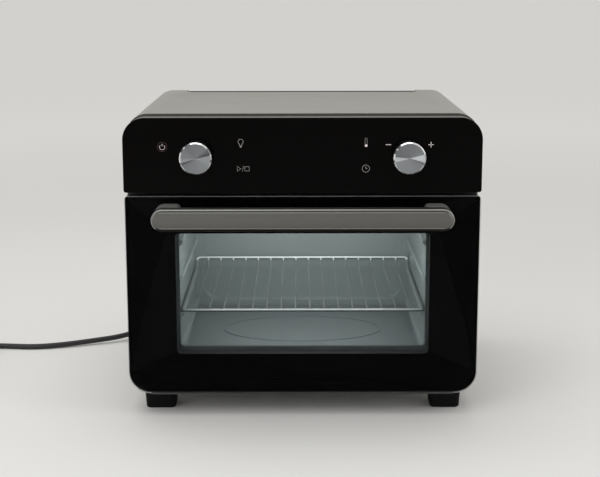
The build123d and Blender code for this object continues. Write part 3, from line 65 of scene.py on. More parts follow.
cameraData = bpy.data.cameras.new("viewCamera")
cameraData.lens = camera["lens"]
cameraData.sensor_width = camera["sensor"]
cameraData.clip_start = camera["nearest"]
cameraObject = bpy.data.objects.new("viewCamera", cameraData)
bpy.context.scene.collection.objects.link(cameraObject)
cameraObject.matrix_world = cameraMatrix(camera)
bpy.context.scene.camera = cameraObject
bpy.context.scene.view_settings.view_transform = "Standard"
print("camera placed")

# Mains cord: the same route as the tube in the part, then its coil
cord = {
    "radius": 0.0035,
    "exit": (-0.062, 0.215, 0.052),
    "route": [
        (-0.062, 0.248, 0.052),
        (-0.086, 0.2725, 0.0448),
        (-0.1185, 0.275, 0.036),
        (-0.152, 0.2545, 0.027),
        (-0.184, 0.2275, 0.0185),
        (-0.213, 0.197, 0.0125),
        (-0.244, 0.1685, 0.0076),
        (-0.283, 0.1535, 0.0054),
        (-0.322, 0.138, 0.0041),
        (-0.360, 0.1285, 0.0035),
        (-0.404, 0.135, 0.0035),
        (-0.447, 0.137, 0.0035),
    ],
    "coilX": -0.454,
    "coilY": 0.137,
    "coilRadius": 0.042,
    "coilPitch": 0.008,
    "layer": 0.0078,
    "tail": 0.016,
    "pointsPerHalfTurn": 8,
    "sidesPerQuarter": 5,
    "stepsPerPoint": 6,
}


def coilPoints(spec):
    # control points stand a little outside each arc, so the spline runs on it
    points = []
    y = spec["coilY"]
    z = spec["radius"]
    side = -1
    count = spec["pointsPerHalfTurn"]
    big = spec["coilRadius"]
    middle = big - spec["coilPitch"] / 2
    small = big - spec["coilPitch"]
    # half turns: radius, climb to the next layer, and how much of the half turn is wound
    halfTurns = ((big, 0, 1), (middle, 0, 1), (small, spec["layer"], 1), (middle, 0, 1), (big, 0, 0.5))
    for radius, climb, share in halfTurns:
        centreY = y + side * radius
        step = pi / count
        for index in range(int(count * share)):
            turn = (index + 0.5) * step
            reach = radius / cos(step / 2)
            x = spec["coilX"] + side * reach * sin(turn)
            points.append((x, centreY - side * reach * cos(turn), z + climb * (1 - cos(turn)) / 2))
        z += climb
        y = centreY + side * radius
        side = -side
    # the tail runs straight into the plug
    points.append((spec["coilX"] - big, spec["coilY"] - big - spec["tail"], z))
    return points


def makeCord(spec):
    curve = bpy.data.curves.new("mainsCord", "CURVE")
    curve.dimensions = "3D"
    curve.bevel_depth = 1.0  # times each point's radius
    curve.bevel_resolution = spec["sidesPerQuarter"]
    curve.resolution_u = spec["stepsPerPoint"]
    curve.use_fill_caps = True
    points = [spec["exit"]] + spec["route"] + coilPoints(spec)
    spline = curve.splines.new("NURBS")
    spline.points.add(len(points) - 1)
    for point, place in zip(spline.points, points):
        point.co = (*place, 1.0)
        point.radius = spec["radius"]
    spline.order_u = 3
    spline.use_endpoint_u = True
    piece = bpy.data.objects.new("mainsCord", curve)
    bpy.context.scene.collection.objects.link(piece)
    return piece


mainsCord = makeCord(cord)
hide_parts("power_cord", "cord_coil")
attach(mainsCord, "oven")
print("cord laid")


# Shader groups that several materials use
def newGroup(name, inputs, outputs):
    group = bpy.data.node_groups.new(name, "ShaderNodeTree")
    for label, kind, value in inputs:
        socket = group.interface.new_socket(name=label, in_out="INPUT", socket_type=kind)
        if value is not None:
            socket.default_value = value
    for label, kind in outputs:
        group.interface.new_socket(name=label, in_out="OUTPUT", socket_type=kind)
    return group, group.nodes.new("NodeGroupInput"), group.nodes.new("NodeGroupOutput")


def mathNode(tree, operation, first, second=None, clamp=False):
    node = tree.nodes.new("ShaderNodeMath")
    node.operation = operation
    node.use_clamp = clamp
    for index, value in enumerate((first, second)):
        if value is None:
            continue
        if hasattr(value, "is_output"):
            tree.links.new(value, node.inputs[index])
        else:
            node.inputs[index].default_value = value
    return node.outputs[0]


grainSettings = {"fineDetail": 2.0, "broadDetail": 4.0}
smudgeSettings = {"detail": 5.0, "distortion": 0.6, "start": 0.48, "end": 0.72}
# start and end of the mesh's pointiness, which is 0.5 on a flat
wearSettings = {"detail": 3.0, "start": 0.52, "end": 0.60}


def makeGrainGroup(spec):
    # fine noise for the height, and its mix with broad noise as a tone round 0.5
    group, given, result = newGroup(
        "surfaceGrain",
        [
            ("Fine Scale", "NodeSocketFloat", 900.0),
            ("Broad Scale", "NodeSocketFloat", 9.0),
            ("Stretch", "NodeSocketVector", (1.0, 1.0, 1.0)),
            ("Fine Share", "NodeSocketFloat", 0.5),
        ],
        [("Tone", "NodeSocketFloat"), ("Fine", "NodeSocketFloat")],
    )
    place = group.nodes.new("ShaderNodeTexCoord")
    stretch = group.nodes.new("ShaderNodeVectorMath")
    stretch.operation = "MULTIPLY"
    group.links.new(place.outputs["Object"], stretch.inputs[0])
    group.links.new(given.outputs["Stretch"], stretch.inputs[1])
    fine = group.nodes.new("ShaderNodeTexNoise")
    fine.inputs["Detail"].default_value = spec["fineDetail"]
    group.links.new(stretch.outputs[0], fine.inputs["Vector"])
    group.links.new(given.outputs["Fine Scale"], fine.inputs["Scale"])
    broad = group.nodes.new("ShaderNodeTexNoise")
    broad.inputs["Detail"].default_value = spec["broadDetail"]
    group.links.new(place.outputs["Object"], broad.inputs["Vector"])
    group.links.new(given.outputs["Broad Scale"], broad.inputs["Scale"])
    fineShare = given.outputs["Fine Share"]
    finePart = mathNode(group, "MULTIPLY", fine.outputs["Fac"], fineShare)
    broadShare = mathNode(group, "SUBTRACT", 1.0, fineShare)
    broadPart = mathNode(group, "MULTIPLY", broad.outputs["Fac"], broadShare)
    group.links.new(mathNode(group, "ADD", finePart, broadPart), result.inputs["Tone"])
    group.links.new(fine.outputs["Fac"], result.inputs["Fine"])
    return group


def makeSmudgeGroup(spec):
    # soft patches where hands and cloths have been
    group, given, result = newGroup(
        "smudges",
        [("Patch Scale", "NodeSocketFloat", 14.0)],
        [("Patches", "NodeSocketFloat")],
    )
    place = group.nodes.new("ShaderNodeTexCoord")
    patches = group.nodes.new("ShaderNodeTexNoise")
    patches.inputs["Detail"].default_value = spec["detail"]
    patches.inputs["Distortion"].default_value = spec["distortion"]
    group.links.new(place.outputs["Object"], patches.inputs["Vector"])
    group.links.new(given.outputs["Patch Scale"], patches.inputs["Scale"])
    soft = group.nodes.new("ShaderNodeMapRange")
    soft.inputs["From Min"].default_value = spec["start"]
    soft.inputs["From Max"].default_value = spec["end"]
    group.links.new(patches.outputs["Fac"], soft.inputs["Value"])
    group.links.new(soft.outputs["Result"], result.inputs["Patches"])
    return group


def makeWearGroup(spec):
    # worn edges from the curvature of the mesh, broken up by noise
    group, given, result = newGroup(
        "edgeWear",
        [("Amount", "NodeSocketFloat", 0.5), ("Noise Scale", "NodeSocketFloat", 120.0)],
        [("Wear", "NodeSocketFloat")],
    )
    place = group.nodes.new("ShaderNodeTexCoord")
    shape = group.nodes.new("ShaderNodeNewGeometry")
    noise = group.nodes.new("ShaderNodeTexNoise")
    noise.inputs["Detail"].default_value = spec["detail"]
    group.links.new(place.outputs["Object"], noise.inputs["Vector"])
    group.links.new(given.outputs["Noise Scale"], noise.inputs["Scale"])
    edge = group.nodes.new("ShaderNodeMapRange")
    edge.inputs["From Min"].default_value = spec["start"]
    edge.inputs["From Max"].default_value = spec["end"]
    group.links.new(shape.outputs["Pointiness"], edge.inputs["Value"])
    broken = mathNode(group, "MULTIPLY", edge.outputs["Result"], noise.outputs["Fac"])
    worn = mathNode(group, "MULTIPLY", broken, given.outputs["Amount"], True)
    group.links.new(worn, result.inputs["Wear"])
    return group


grainGroup = makeGrainGroup(grainSettings)
smudgeGroup = makeSmudgeGroup(smudgeSettings)
wearGroup = makeWearGroup(wearSettings)
print("shader groups made")

# What a finish has where its own dictionary says nothing else
finishDefaults = {
    "metallic": 0.0,
    "rough": 0.4,
    "roughSpread": 0.08,
    "toneSpread": 0.06,
    "fineScale": 900.0,
    "broadScale": 9.0,
    "fineShare": 0.5,
    "stretch": (1.0, 1.0, 1.0),
    "bump": 0.15,
    "bumpDepth": 0.00004,
    "smudge": 0.04,
    "patchScale": 14.0,
    "wear": 0.0,
    "wearScale": 120.0,
    "wearColour": (0.55, 0.55, 0.55),
    "coat": 0.0,
    "coatRough": 0.1,
    "specular": 0.5,
    "alpha": 1.0,
}


def groupNode(tree, group, values):
    node = tree.nodes.new("ShaderNodeGroup")
    node.node_tree = group
    for label, value in values.items():
        node.inputs[label].default_value = value
    return node


def mixColour(tree, share, first, second):
    mix = tree.nodes.new("ShaderNodeMix")
    mix.data_type = "RGBA"
    # sockets 0, 6 and 7 are the share and the two colours
    for index, value in ((0, share), (6, first), (7, second)):
        if hasattr(value, "is_output"):
            tree.links.new(value, mix.inputs[index])
        elif isinstance(value, tuple):
            mix.inputs[index].default_value = (*value, 1.0)
        else:
            mix.inputs[index].default_value = value
    return mix.outputs[2]


def makeFinish(name, spec):
    look = {**finishDefaults, **spec}
    material = bpy.data.materials.new(name)
    material.use_nodes = True
    tree = material.node_tree
    shader = tree.nodes["Principled BSDF"]
    grain = groupNode(tree, grainGroup, {
        "Fine Scale": look["fineScale"],
        "Broad Scale": look["broadScale"],
        "Stretch": look["stretch"],
        "Fine Share": look["fineShare"],
    })
    smudge = groupNode(tree, smudgeGroup, {"Patch Scale": look["patchScale"]})
    # colour: the written tone, a little darker and lighter with the grain
    darker = tuple(channel * (1 - look["toneSpread"]) for channel in look["colour"])
    lighter = tuple(min(1.0, channel * (1 + look["toneSpread"])) for channel in look["colour"])
    colour = mixColour(tree, grain.outputs["Tone"], darker, lighter)
    if look["wear"] > 0:
        wear = groupNode(tree, wearGroup, {"Amount": look["wear"], "Noise Scale": look["wearScale"]})
        colour = mixColour(tree, wear.outputs["Wear"], colour, look["wearColour"])
    tree.links.new(colour, shader.inputs["Base Color"])
    # roughness: base value, grain and smudges
    offset = mathNode(tree, "SUBTRACT", grain.outputs["Tone"], 0.5)
    spread = mathNode(tree, "MULTIPLY", offset, 2 * look["roughSpread"])
    smeared = mathNode(tree, "MULTIPLY", smudge.outputs["Patches"], look["smudge"])
    rough = mathNode(tree, "ADD", mathNode(tree, "ADD", spread, smeared), look["rough"], True)
    tree.links.new(rough, shader.inputs["Roughness"])
    bump = tree.nodes.new("ShaderNodeBump")
    bump.inputs["Strength"].default_value = look["bump"]
    bump.inputs["Distance"].default_value = look["bumpDepth"]
    tree.links.new(grain.outputs["Fine"], bump.inputs["Height"])
    tree.links.new(bump.outputs["Normal"], shader.inputs["Normal"])
    shader.inputs["Metallic"].default_value = look["metallic"]
    shader.inputs["Coat Weight"].default_value = look["coat"]
    shader.inputs["Coat Roughness"].default_value = look["coatRough"]
    shader.inputs["Specular IOR Level"].default_value = look["specular"]
    shader.inputs["Alpha"].default_value = look["alpha"]
    return material


def dress(material, *names):
    for name in names:
        node = nodes[name]
        node.data.materials.clear()
        node.data.materials.append(material)


def axisValue(tree, output, axis):
    # one axis of the object's own coordinates or of its normals
    place = tree.nodes.new("ShaderNodeTexCoord")
    parts = tree.nodes.new("ShaderNodeSeparateXYZ")
    tree.links.new(place.outputs[output], parts.inputs[0])
    return parts.outputs[axis]


def ramp(tree, value, start, end):
    # 0 before the start, 1 past the end
    span = tree.nodes.new("ShaderNodeMapRange")
    span.interpolation_type = "SMOOTHSTEP"
    span.inputs["From Min"].default_value = start
    span.inputs["From Max"].default_value = end
    tree.links.new(value, span.inputs["Value"])
    return span.outputs["Result"]


def shadeWhere(material, mask, gain):
    # the finish's own colour, times the gain where the mask is 1
    tree = material.node_tree
    shader = tree.nodes["Principled BSDF"]
    plain = shader.inputs["Base Color"].links[0].from_socket
    scaled = tree.nodes.new("ShaderNodeVectorMath")
    scaled.operation = "SCALE"
    scaled.inputs["Scale"].default_value = gain
    tree.links.new(plain, scaled.inputs[0])
    tree.links.new(mixColour(tree, mask, plain, scaled.outputs[0]), shader.inputs["Base Color"])


# Casing: satin grey paint on sheet steel
casingFinish = {
    "colour": (0.236, 0.226, 0.190),
    "metallic": 0.35,
    "rough": 0.36,
    "roughSpread": 0.03,
    "toneSpread": 0.025,
    "fineScale": 1400.0,
    "bump": 0.07,
    "smudge": 0.03,
    "wear": 0.3,
}
casingTones = {
    # painted shade on the hem's front face
    "hemShade": 0.34,
    "hemFacing": -0.8,
    # painted shade on the pressed step at the rear of the top
    "rear": 0.13,
    "rearRough": 0.95,
    "stepShadeStart": 0.158,
    "stepShadeEnd": 0.168,
    "stepHalf": 0.150,
    "topZ": 0.338,
}
casingMaterial = makeFinish("casingEnamel", casingFinish)


def shadeCasing(material, tones):
    tree = material.node_tree
    # painted shade: the hem's front face lies in the shadow gap behind the panel
    hemShade = mathNode(tree, "LESS_THAN", axisValue(tree, "Normal", "Y"), tones["hemFacing"])
    shadeWhere(material, hemShade, tones["hemShade"])
    # painted shade on the pressed step, which is also made duller
    rear = ramp(tree, axisValue(tree, "Object", "Y"), tones["stepShadeStart"], tones["stepShadeEnd"])
    sideways = mathNode(tree, "ABSOLUTE", axisValue(tree, "Object", "X"))
    across = mathNode(tree, "LESS_THAN", sideways, tones["stepHalf"])
    top = mathNode(tree, "GREATER_THAN", axisValue(tree, "Object", "Z"), tones["topZ"])
    mask = mathNode(tree, "MULTIPLY", mathNode(tree, "MULTIPLY", rear, across), top)
    shadeWhere(material, mask, tones["rear"])
    shader = tree.nodes["Principled BSDF"]
    plain = shader.inputs["Roughness"].links[0].from_socket
    dull = mathNode(tree, "MAXIMUM", plain, mathNode(tree, "MULTIPLY", mask, tones["rearRough"]))
    tree.links.new(dull, shader.inputs["Roughness"])


shadeCasing(casingMaterial, casingTones)
dress(casingMaterial, "outer_casing")

# Bare zinc sheet at the back, under the base and inside
zincFinish = {
    "colour": (0.45, 0.46, 0.46),
    "metallic": 0.9,
    "rough": 0.38,
    "roughSpread": 0.12,
    "toneSpread": 0.18,
    "fineScale": 260.0,
    "broadScale": 40.0,
    "fineShare": 0.4,
    "bump": 0.1,
    "wear": 0.2,
}
dress(
    makeFinish("zincSheet", zincFinish),
    "rear_panel", "base_plate", "heater_duct", "motor_bridge",
    "hinge_bracket_left", "hinge_bracket_right",
)

# Dark painted steel of the front plate and the door's frame, and the paler back cover
darkFinish = {
    "colour": (0.030, 0.030, 0.034),
    "rough": 0.42,
    "toneSpread": 0.15,
    "bump": 0.2,
    "specular": 0.4,
}
dress(makeFinish("darkSteel", darkFinish), "front_plate", "door_frame")
coverFinish = {**darkFinish, "colour": (0.105, 0.123, 0.126)}
dress(makeFinish("coverSteel", coverFinish), "door_back_cover")

# Enamelled cavity and tray, slightly blue grey and glossy
cavityFinish = {
    "colour": (0.300, 0.358, 0.350),
    "rough": 0.30,
    "roughSpread": 0.08,
    "toneSpread": 0.10,
    "fineScale": 700.0,
    "bump": 0.25,
    "coat": 0.4,
    "coatRough": 0.12,
}
dress(
    makeFinish("cavityEnamel", cavityFinish),
    "cavity_floor", "cavity_ceiling", "cavity_back", "cavity_left", "cavity_right", "fan_guard",
)
trayFinish = {**cavityFinish, "colour": (0.222, 0.258, 0.264), "bump": 0.15}
dress(makeFinish("trayEnamel", trayFinish), "crumb_tray")

# Feet of dark rubber
footFinish = {
    "colour": (0.003, 0.003, 0.003),
    "rough": 0.62,
    "specular": 0.12,
    "toneSpread": 0.2,
    "fineScale": 1100.0,
    "bump": 0.4,
}
dress(
    makeFinish("footRubber", footFinish),
    "foot_front_left", "foot_front_right", "foot_rear_left", "foot_rear_right",
)

# Screws, pins, springs and the thermostat's case
screwFinish = {
    "colour": (0.55, 0.55, 0.54),
    "metallic": 1.0,
    "rough": 0.3,
    "wear": 0.4,
    "fineScale": 600.0,
}
dress(
    makeFinish("screwSteel", screwFinish),
    "foot_screws", "rear_screws", "door_screws", "handle_screws",
    "hinge_pins", "hinge_springs", "thermostat",
)

# Bright wire of the rack
rackFinish = {
    "colour": (0.165, 0.183, 0.182),
    "metallic": 0.30,
    "rough": 0.45,
    "roughSpread": 0.06,
    "toneSpread": 0.05,
    "fineScale": 500.0,
    "bump": 0.08,
}
rackTones = {
    # painted highlight on the front and rear rails, on their upper halves
    "railHighlight": 3.2,
    "frontY": -0.1001,
    "rearY": 0.131,
    "facing": 0.0,
    # painted highlight on the wires, towards their far ends
    "deep": 1.9,
    "nearY": -0.04,
    "farY": 0.08,
}
rackMaterial = makeFinish("rackWire", rackFinish)


def shadeRack(material, tones):
    # painted highlights: on the upper halves of the front and rear rails, and on the wires, fading
    # towards the door
    tree = material.node_tree
    depth = axisValue(tree, "Object", "Y")
    front = mathNode(tree, "LESS_THAN", depth, tones["frontY"])
    rear = mathNode(tree, "GREATER_THAN", depth, tones["rearY"])
    facing = mathNode(tree, "GREATER_THAN", axisValue(tree, "Normal", "Z"), tones["facing"])
    railHighlight = mathNode(tree, "MULTIPLY", mathNode(tree, "MAXIMUM", front, rear), facing)
    shadeWhere(material, ramp(tree, depth, tones["nearY"], tones["farY"]), tones["deep"])
    shadeWhere(material, railHighlight, tones["railHighlight"])


shadeRack(rackMaterial, rackTones)
dress(rackMaterial, "wire_rack")

# Heater tubes, heat-stained
elementFinish = {
    "colour": (0.16, 0.15, 0.15),
    "metallic": 0.8,
    "rough": 0.5,
    "toneSpread": 0.35,
    "broadScale": 30.0,
    "fineShare": 0.3,
    "bump": 0.3,
}
dress(makeFinish("elementSheath", elementFinish), "top_element", "lower_element")

# Fans, shafts and motor
fanFinish = {
    "colour": (0.50, 0.50, 0.50),
    "metallic": 1.0,
    "rough": 0.34,
    "toneSpread": 0.08,
    "fineScale": 500.0,
}
dress(
    makeFinish("fanSheet", fanFinish),
    "hot_air_fan", "cooling_fan", "fan_shaft", "knob_shaft_left", "knob_shaft_right",
)
motorFinish = {
    "colour": (0.12, 0.12, 0.12),
    "metallic": 0.6,
    "rough": 0.55,
    "stretch": (1.0, 1.0, 60.0),
    "fineScale": 60.0,
    "bump": 0.6,
}
dress(makeFinish("motorIron", motorFinish), "fan_motor")

# Control housing, a grey satin rim behind the glass
housingFinish = {
    "colour": (0.185, 0.179, 0.173),
    "metallic": 0.5,
    "rough": 0.34,
    "fineScale": 1300.0,
    "bump": 0.12,
}
dress(makeFinish("housingGrey", housingFinish), "control_housing")

# Black control glass
panelGlassFinish = {
    "colour": (0.0013, 0.0010, 0.0009),
    "rough": 0.06,
    "roughSpread": 0.02,
    "toneSpread": 0.1,
    "bump": 0.0,
    "smudge": 0.05,
    "specular": 0.05,
}
dress(makeFinish("panelGlass", panelGlassFinish), "control_glass")

# Clear door glass: thin, so light reaches the cavity
doorGlassFinish = {
    "colour": (0.004, 0.005, 0.006),
    "rough": 0.05,
    "roughSpread": 0.02,
    "bump": 0.0,
    "smudge": 0.05,
    "alpha": 0.10,
    "specular": 0.15,
}
# painted highlight, partly frosted grind: the pale colour of the glass's up-facing edge
groundEdgeHighlight = {"colour": (0.68, 0.71, 0.68), "facing": 0.8}


def paintGroundEdgeHighlight(material, spec):
    # the glass's ground top edge lets nothing through; its pale colour is the frosted grind plus a
    # painted highlight, as only faces that look up get it
    tree = material.node_tree
    shader = tree.nodes["Principled BSDF"]
    edge = mathNode(tree, "GREATER_THAN", axisValue(tree, "Normal", "Z"), spec["facing"])
    plain = shader.inputs["Base Color"].links[0].from_socket
    tree.links.new(mixColour(tree, edge, plain, spec["colour"]), shader.inputs["Base Color"])
    clear = shader.inputs["Alpha"].default_value
    tree.links.new(mathNode(tree, "MAXIMUM", edge, clear), shader.inputs["Alpha"])


doorGlass = makeFinish("doorGlass", doorGlassFinish)
paintGroundEdgeHighlight(doorGlass, groundEdgeHighlight)
dress(doorGlass, "door_glass_outer")
innerGlassFinish = {**doorGlassFinish, "alpha": 0.06}
dress(makeFinish("innerGlass", innerGlassFinish), "door_glass_inner")

# Black print round the window
backingFinish = {"colour": (0.0013, 0.0010, 0.0009), "rough": 0.12, "bump": 0.0, "specular": 0.04}
dress(makeFinish("blackPrint", backingFinish), "door_backing")

# Handle: brushed bar and a darker brushed plate
handleFinish = {
    "colour": (0.27, 0.275, 0.262),
    "metallic": 1.0,
    "rough": 0.34,
    "roughSpread": 0.04,
    "toneSpread": 0.05,
    "stretch": (0.01, 1.0, 1.0),
    "fineScale": 1500.0,
    "fineShare": 0.9,
    "bump": 0.12,
    "wear": 0.5,
    "wearColour": (0.7, 0.7, 0.68),
}
handleTones = {
    # bar: painted highlight on its front rim, and painted shade on its lower run
    "rimHighlight": 1.3,
    "rimFacing": -0.9,
    "under": 0.08,
    "underZ": 0.2254,
    # plate: painted shade on its lower half, and a painted highlight on its lowest edge
    "middle": 0.88,
    "middleZ": 0.2345,
    "middleEndZ": 0.2272,
    "low": 2.6,
    "lowZ": 0.2262,
}


def shadeHandle(barMaterial, plateMaterial, tones):
    # painted light: the bar's front rim is brightened and its lower run shaded, the plate's lower half
    # is shaded and its lowest edge highlighted
    tree = barMaterial.node_tree
    rimHighlight = mathNode(tree, "LESS_THAN", axisValue(tree, "Normal", "Y"), tones["rimFacing"])
    shadeWhere(barMaterial, rimHighlight, tones["rimHighlight"])
    under = mathNode(tree, "LESS_THAN", axisValue(tree, "Object", "Z"), tones["underZ"])
    shadeWhere(barMaterial, under, tones["under"])
    tree = plateMaterial.node_tree
    height = axisValue(tree, "Object", "Z")
    shadeWhere(plateMaterial, ramp(tree, height, tones["middleZ"], tones["middleEndZ"]), tones["middle"])
    shadeWhere(plateMaterial, mathNode(tree, "LESS_THAN", height, tones["lowZ"]), tones["low"])


barMaterial = makeFinish("handleMetal", handleFinish)
plateFinish = {
    **handleFinish,
    "colour": (0.152, 0.149, 0.140),
    "toneSpread": 0.01,
    "roughSpread": 0.0,
    "smudge": 0.0,
    "wear": 0.0,
    "bump": 0.02,
}
plateMaterial = makeFinish("handlePlateMetal", plateFinish)
shadeHandle(barMaterial, plateMaterial, handleTones)
dress(barMaterial, "handle_bar")
dress(plateMaterial, "handle_plate")
# painted light: a copy of the handle's metal for the brackets, with colour and metal share set to
# lighten them where they lie in shade
bracketLightenedFinish = {**handleFinish, "colour": (0.148, 0.168, 0.149), "metallic": 0.4}
dress(makeFinish("bracketMetal", bracketLightenedFinish), "handle_bracket_left", "handle_bracket_right")

# Boards, plastics, the lamp, and the rubber of cord and plug
boardFinish = {"colour": (0.02, 0.10, 0.04), "rough": 0.45, "fineScale": 200.0}
dress(makeFinish("boardGreen", boardFinish), "control_board", "power_board")
plasticFinish = {"colour": (0.02, 0.02, 0.02), "rough": 0.5, "toneSpread": 0.15, "bump": 0.3}
dress(
    makeFinish("darkPlastic", plasticFinish),
    "encoder_left", "encoder_right", "terminal_block", "strain_relief",
)
holderFinish = {"colour": (0.72, 0.70, 0.66), "rough": 0.3}
dress(makeFinish("lampCeramic", holderFinish), "lamp_holder")
lensFinish = {"colour": (0.8, 0.8, 0.76), "rough": 0.15, "alpha": 0.6, "bump": 0.1}
dress(makeFinish("lampGlass", lensFinish), "lamp_lens")
cordFinish = {
    "colour": (0.016, 0.016, 0.017),
    "rough": 0.52,
    "toneSpread": 0.2,
    "fineScale": 1200.0,
    "bump": 0.3,
}
cordMaterial = makeFinish("cordRubber", cordFinish)
dress(cordMaterial, "plug", "power_cord", "cord_coil")
mainsCord.data.materials.append(cordMaterial)

# Knobs: turned aluminium, with fine rings round their own axis, and painted sheen and highlights
knobFinish = {
    "colour": (0.262, 0.276, 0.292),
    "metallic": 1.0,
    "rough": 0.30,
    "roughSpread": 0.03,
    "toneSpread": 0.04,
    "bump": 0.1,
}
knob = {
    "sideColour": (0.010, 0.010, 0.011),
    "sideFacing": 0.25,
    "bevelStart": 0.0161,
    "bevelPolish": 0.6,
    "ringScale": 2600.0,
    "ringDetail": 2.0,
    "ringDepth": 0.00002,
    "ringStrength": 0.3,
    # the axes stand at this height, left and right of the middle
    "z": 0.2979,
    "x": 0.116,
    "highestGain": 4.0,
    # painted sheen round the face: turn in degrees from the right, and its gain
    "sheenLeft": [
        (0, 1.30), (11, 1.20), (15, 0.30), (28, 0.55), (45, 0.85), (70, 0.82), (120, 0.78), (170, 0.95),
        (192, 1.35), (202, 0.38), (212, 0.85), (250, 0.95), (310, 1.05),
    ],
    "sheenRight": [
        (0, 2.6), (13, 2.5), (18, 1.0), (60, 0.85), (120, 0.80), (165, 0.75), (170, 0.45), (176, 2.0),
        (190, 2.5), (198, 1.2), (270, 1.15), (334, 1.0), (339, 0.5), (345, 1.7), (352, 2.6),
    ],
    # painted highlights, the same round the polished bevel: broken glints
    "bevelGlintsLeft": [
        (0, 0.55), (12, 0.50), (16, 0.12), (40, 0.12), (44, 1.3), (106, 1.3), (110, 0.14), (128, 0.14),
        (136, 0.9), (144, 0.14), (155, 0.14), (159, 1.2), (192, 1.2), (196, 0.14), (205, 0.50),
        (238, 0.42), (246, 0.2), (268, 0.2), (275, 0.55), (345, 0.50), (352, 0.14),
    ],
    "bevelGlintsRight": [
        (0, 0.55), (48, 0.40), (55, 1.3), (122, 1.3), (126, 0.14), (139, 0.14), (145, 0.9), (151, 0.14),
        (162, 0.14), (166, 1.2), (186, 1.2), (190, 0.14), (196, 0.60), (266, 0.65), (276, 0.40),
        (294, 0.2), (300, 0.45), (332, 0.45), (337, 0.14), (345, 0.45),
    ],
}


def fromShaft(tree, centreX):
    # place on the knob's face from its own axis, and how far that is
    place = tree.nodes.new("ShaderNodeTexCoord")
    fromAxis = tree.nodes.new("ShaderNodeVectorMath")
    fromAxis.operation = "SUBTRACT"
    fromAxis.inputs[1].default_value = (centreX, 0.0, knob["z"])
    tree.links.new(place.outputs["Object"], fromAxis.inputs[0])
    flat = tree.nodes.new("ShaderNodeVectorMath")
    flat.operation = "MULTIPLY"
    flat.inputs[1].default_value = (1.0, 0.0, 1.0)
    tree.links.new(fromAxis.outputs[0], flat.inputs[0])
    reach = tree.nodes.new("ShaderNodeVectorMath")
    reach.operation = "LENGTH"
    tree.links.new(flat.outputs[0], reach.inputs[0])
    return flat.outputs[0], reach.outputs["Value"]


def turnRings(tree, reach):
    # fine tool marks round the axis
    rings = tree.nodes.new("ShaderNodeTexNoise")
    rings.noise_dimensions = "1D"
    rings.inputs["Detail"].default_value = knob["ringDetail"]
    rings.inputs["Scale"].default_value = knob["ringScale"]
    tree.links.new(reach, rings.inputs["W"])
    bump = tree.nodes.new("ShaderNodeBump")
    bump.inputs["Strength"].default_value = knob["ringStrength"]
    bump.inputs["Distance"].default_value = knob["ringDepth"]
    tree.links.new(rings.outputs["Fac"], bump.inputs["Height"])
    return bump.outputs["Normal"]


def makePaintedSheen(tree, flat, sheenFans):
    # painted sheen of a turned face: light and dark fans round its axis, fixed in the knob
    parts = tree.nodes.new("ShaderNodeSeparateXYZ")
    tree.links.new(flat, parts.inputs[0])
    turn = mathNode(tree, "ARCTAN2", parts.outputs["Z"], parts.outputs["X"])
    share = mathNode(tree, "FRACT", mathNode(tree, "ADD", mathNode(tree, "DIVIDE", turn, 2 * pi), 1.0))
    band = tree.nodes.new("ShaderNodeValToRGB")
    band.color_ramp.interpolation = "EASE"
    stops = band.color_ramp.elements
    while len(stops) < len(sheenFans) + 1:
        stops.new(0.5)
    # the last stop closes the round
    for stop, (degrees, gain) in zip(stops, sheenFans + [(360, sheenFans[0][1])]):
        level = gain / knob["highestGain"]  # a stop's colour ends at 1
        stop.position = degrees / 360
        stop.color = (level, level, level, 1.0)
    tree.links.new(share, band.inputs["Fac"])
    return mathNode(tree, "MULTIPLY", band.outputs["Color"], knob["highestGain"])


def makeKnobMaterial(name, centreX, sheenFans, bevelGlints):
    material = makeFinish(name, knobFinish)
    tree = material.node_tree
    shader = tree.nodes["Principled BSDF"]
    flat, reach = fromShaft(tree, centreX)
    tree.links.new(turnRings(tree, reach), shader.inputs["Normal"])
    # the face carries one set of painted sheen fans, the polished bevel round it a set of painted
    # highlights
    bevel = mathNode(tree, "GREATER_THAN", reach, knob["bevelStart"])
    face = tree.nodes.new("ShaderNodeVectorMath")
    face.operation = "SCALE"
    tree.links.new(shader.inputs["Base Color"].links[0].from_socket, face.inputs[0])
    tree.links.new(makePaintedSheen(tree, flat, sheenFans), face.inputs["Scale"])
    front = mixColour(tree, bevel, face.outputs[0], makePaintedSheen(tree, flat, bevelGlints))
    # the knob's side is dark plastic
    facing = mathNode(tree, "ABSOLUTE", axisValue(tree, "Normal", "Y"))
    side = mathNode(tree, "LESS_THAN", facing, knob["sideFacing"])
    tree.links.new(mixColour(tree, side, front, knob["sideColour"]), shader.inputs["Base Color"])
    tree.links.new(mathNode(tree, "SUBTRACT", 1.0, side), shader.inputs["Metallic"])
    plain = shader.inputs["Roughness"].links[0].from_socket
    polish = mathNode(tree, "SUBTRACT", 1.0, mathNode(tree, "MULTIPLY", bevel, knob["bevelPolish"]))
    tree.links.new(mathNode(tree, "MULTIPLY", plain, polish), shader.inputs["Roughness"])
    return material


knobLeft = makeKnobMaterial("knobMetalLeft", -knob["x"], knob["sheenLeft"], knob["bevelGlintsLeft"])
knobRight = makeKnobMaterial("knobMetalRight", knob["x"], knob["sheenRight"], knob["bevelGlintsRight"])
dress(knobLeft, "knob_left")
dress(knobRight, "knob_right")
print("finishes on")

# Printed symbols on the control glass
icons = {
    "glassY": -0.145,
    "thickness": 0.00006,
    "line": 0.00052,
    "bold": 0.000676,
    "thin": 0.00040,
    "ringLine": 0.000416,
    "mitreLimit": 0.5,
    "colour": (0.30, 0.29, 0.28),
    "brightColour": (0.92, 0.84, 0.84),
    "ringColour": (0.060, 0.018, 0.018),
}

